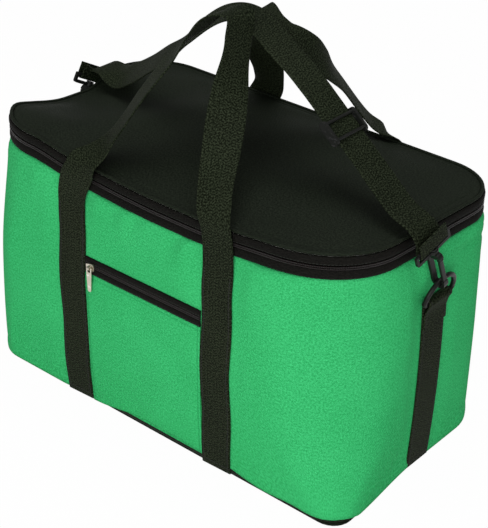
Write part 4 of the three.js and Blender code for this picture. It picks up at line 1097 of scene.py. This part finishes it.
# %% Hard fittings
def soften(node, name, finish, slot, body, bevel=0.0004, smooth=38, slim=0.0):
    source = bpy.data.objects[node]
    made = bmesh.new()
    made.from_mesh(source.data)
    made.transform(source.matrix_world)
    bmesh.ops.remove_doubles(made, verts=made.verts, dist=1e-6)
    bmesh.ops.dissolve_limit(made, angle_limit=math.radians(1.5), verts=made.verts, edges=made.edges)
    made.normal_update()
    slimmer = [(vertex, vertex.co - slim * vertex.normal) for vertex in made.verts]
    for vertex, place in slimmer:
        vertex.co = place
    mesh = bpy.data.meshes.new(name)
    made.to_mesh(mesh)
    made.free()
    piece = bpy.data.objects.new(name, mesh)
    bpy.context.collection.objects.link(piece)
    edges = piece.modifiers.new("round_edges", "BEVEL")
    edges.width = bevel
    edges.segments = 3
    edges.limit_method = "ANGLE"
    edges.angle_limit = math.radians(smooth)
    edges.use_clamp_overlap = True
    mesh.shade_smooth()
    mesh.set_sharp_from_angle(angle=math.radians(smooth))
    dress(piece, finish, slot, node)
    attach(piece, body)


for hand in ("right", "left"):
    soften(f"{hand}_snap_hook", f"{hand}_clip", black_plastic, "hardware", f"{hand}_hook", 0.0008)
    soften(f"{hand}_hook_gate", f"{hand}_clip_gate", black_plastic, "hardware", f"{hand}_gate", 0.0005)
    soften(f"{hand}_strap_loop", f"{hand}_strap_fitting", black_plastic, "hardware", "bag", 0.0006)
    soften(f"{hand}_ring", f"{hand}_dee", black_plastic, "hardware", f"{hand}_ring", 0.0002, 80, 0.0002)
soften("strap_slide", "three_bar_slide", black_plastic, "hardware", "slide", 0.0005)
for place in ("pocket", "lid"):
    soften(f"{place}_zip_slider", f"{place}_runner", slider_metal, "zip_metal", f"{place}_slider", 0.00035)
    soften(f"{place}_zip_pull", f"{place}_puller", slider_metal, "zip_metal", f"{place}_pull", 0.0003)

# %% [markdown]
# ## Foam under the base
# The base foam is never seen, so its CAD solid stays and only takes the foam's finish.

# %% Carried-over solids
base_foam = bpy.data.objects["base_foam"]
base_foam.data.materials.clear()
base_foam.data.materials.append(foam_skin)
print("carried over:", base_foam.name)

# %% [markdown]
# ## Floor and light
# The bag stands on a pale floor in soft studio light. The floor is white to the camera and still takes the
# bag's shadow: most of its white is given by camera rays alone, and the rest by light that the bag can
# block.

# %% Floor and light
floor_mesh = bpy.data.meshes.new("floor")
FLOOR_LEVEL = -0.0005
floor_corners = [(x, y, FLOOR_LEVEL) for x, y in ((-6, -6), (6, -6), (6, 6), (-6, 6))]
floor_mesh.from_pydata(floor_corners, [], [(0, 1, 2, 3)])
floor = bpy.data.objects.new("floor", floor_mesh)
bpy.context.collection.objects.link(floor)
floor_white, net, matt = new_material("floor_white")
matt["Base Color"].default_value = (0.86, 0.86, 0.86, 1)
matt["Roughness"].default_value = 0.9
matt["Specular IOR Level"].default_value = 0.0
glow = net.node("ShaderNodeEmission")
rays = net.node("ShaderNodeLightPath").outputs
seen = net.sum("MAXIMUM", rays["Is Camera Ray"], rays["Is Glossy Ray"])
mix = net.node("ShaderNodeMixShader")
net.feed(mix.inputs[0], net.sum("MULTIPLY", seen, 0.98))
net.feed(mix.inputs[1], net.tree.nodes["Principled BSDF"].outputs[0])
net.feed(mix.inputs[2], glow.outputs[0])
net.feed(net.tree.nodes["Material Output"].inputs[0], mix.outputs[0])
floor_mesh.materials.append(floor_white)

world = bpy.data.worlds.new("studio")
bpy.context.scene.world = world
world.use_nodes = True
net = Net(world.node_tree)
sky = world.node_tree.nodes["Background"]
rays = net.node("ShaderNodeLightPath").outputs
sky.inputs["Color"].default_value = (1, 1, 1, 1)
net.feed(sky.inputs["Strength"], net.sum("MULTIPLY_ADD", rays["Is Camera Ray"], 0.73, 0.27))


def soft_light(name, place, size, power):
    made = bpy.data.lights.new(name, "AREA")
    made.shape = "DISK"
    made.size = size
    made.energy = power
    lamp = bpy.data.objects.new(name, made)
    lamp.location = place
    lamp.rotation_euler = (Vector((0, 0, 0.15)) - Vector(place)).to_track_quat("-Z", "Y").to_euler()
    bpy.context.collection.objects.link(lamp)


soft_light("key", (0.8, -2.0, 0.95), 1.5, 22)
soft_light("fill", (1.3, -1.1, 0.5), 1.0, 4.5)
soft_light("top", (0.0, 0.2, 2.8), 2.0, 32)
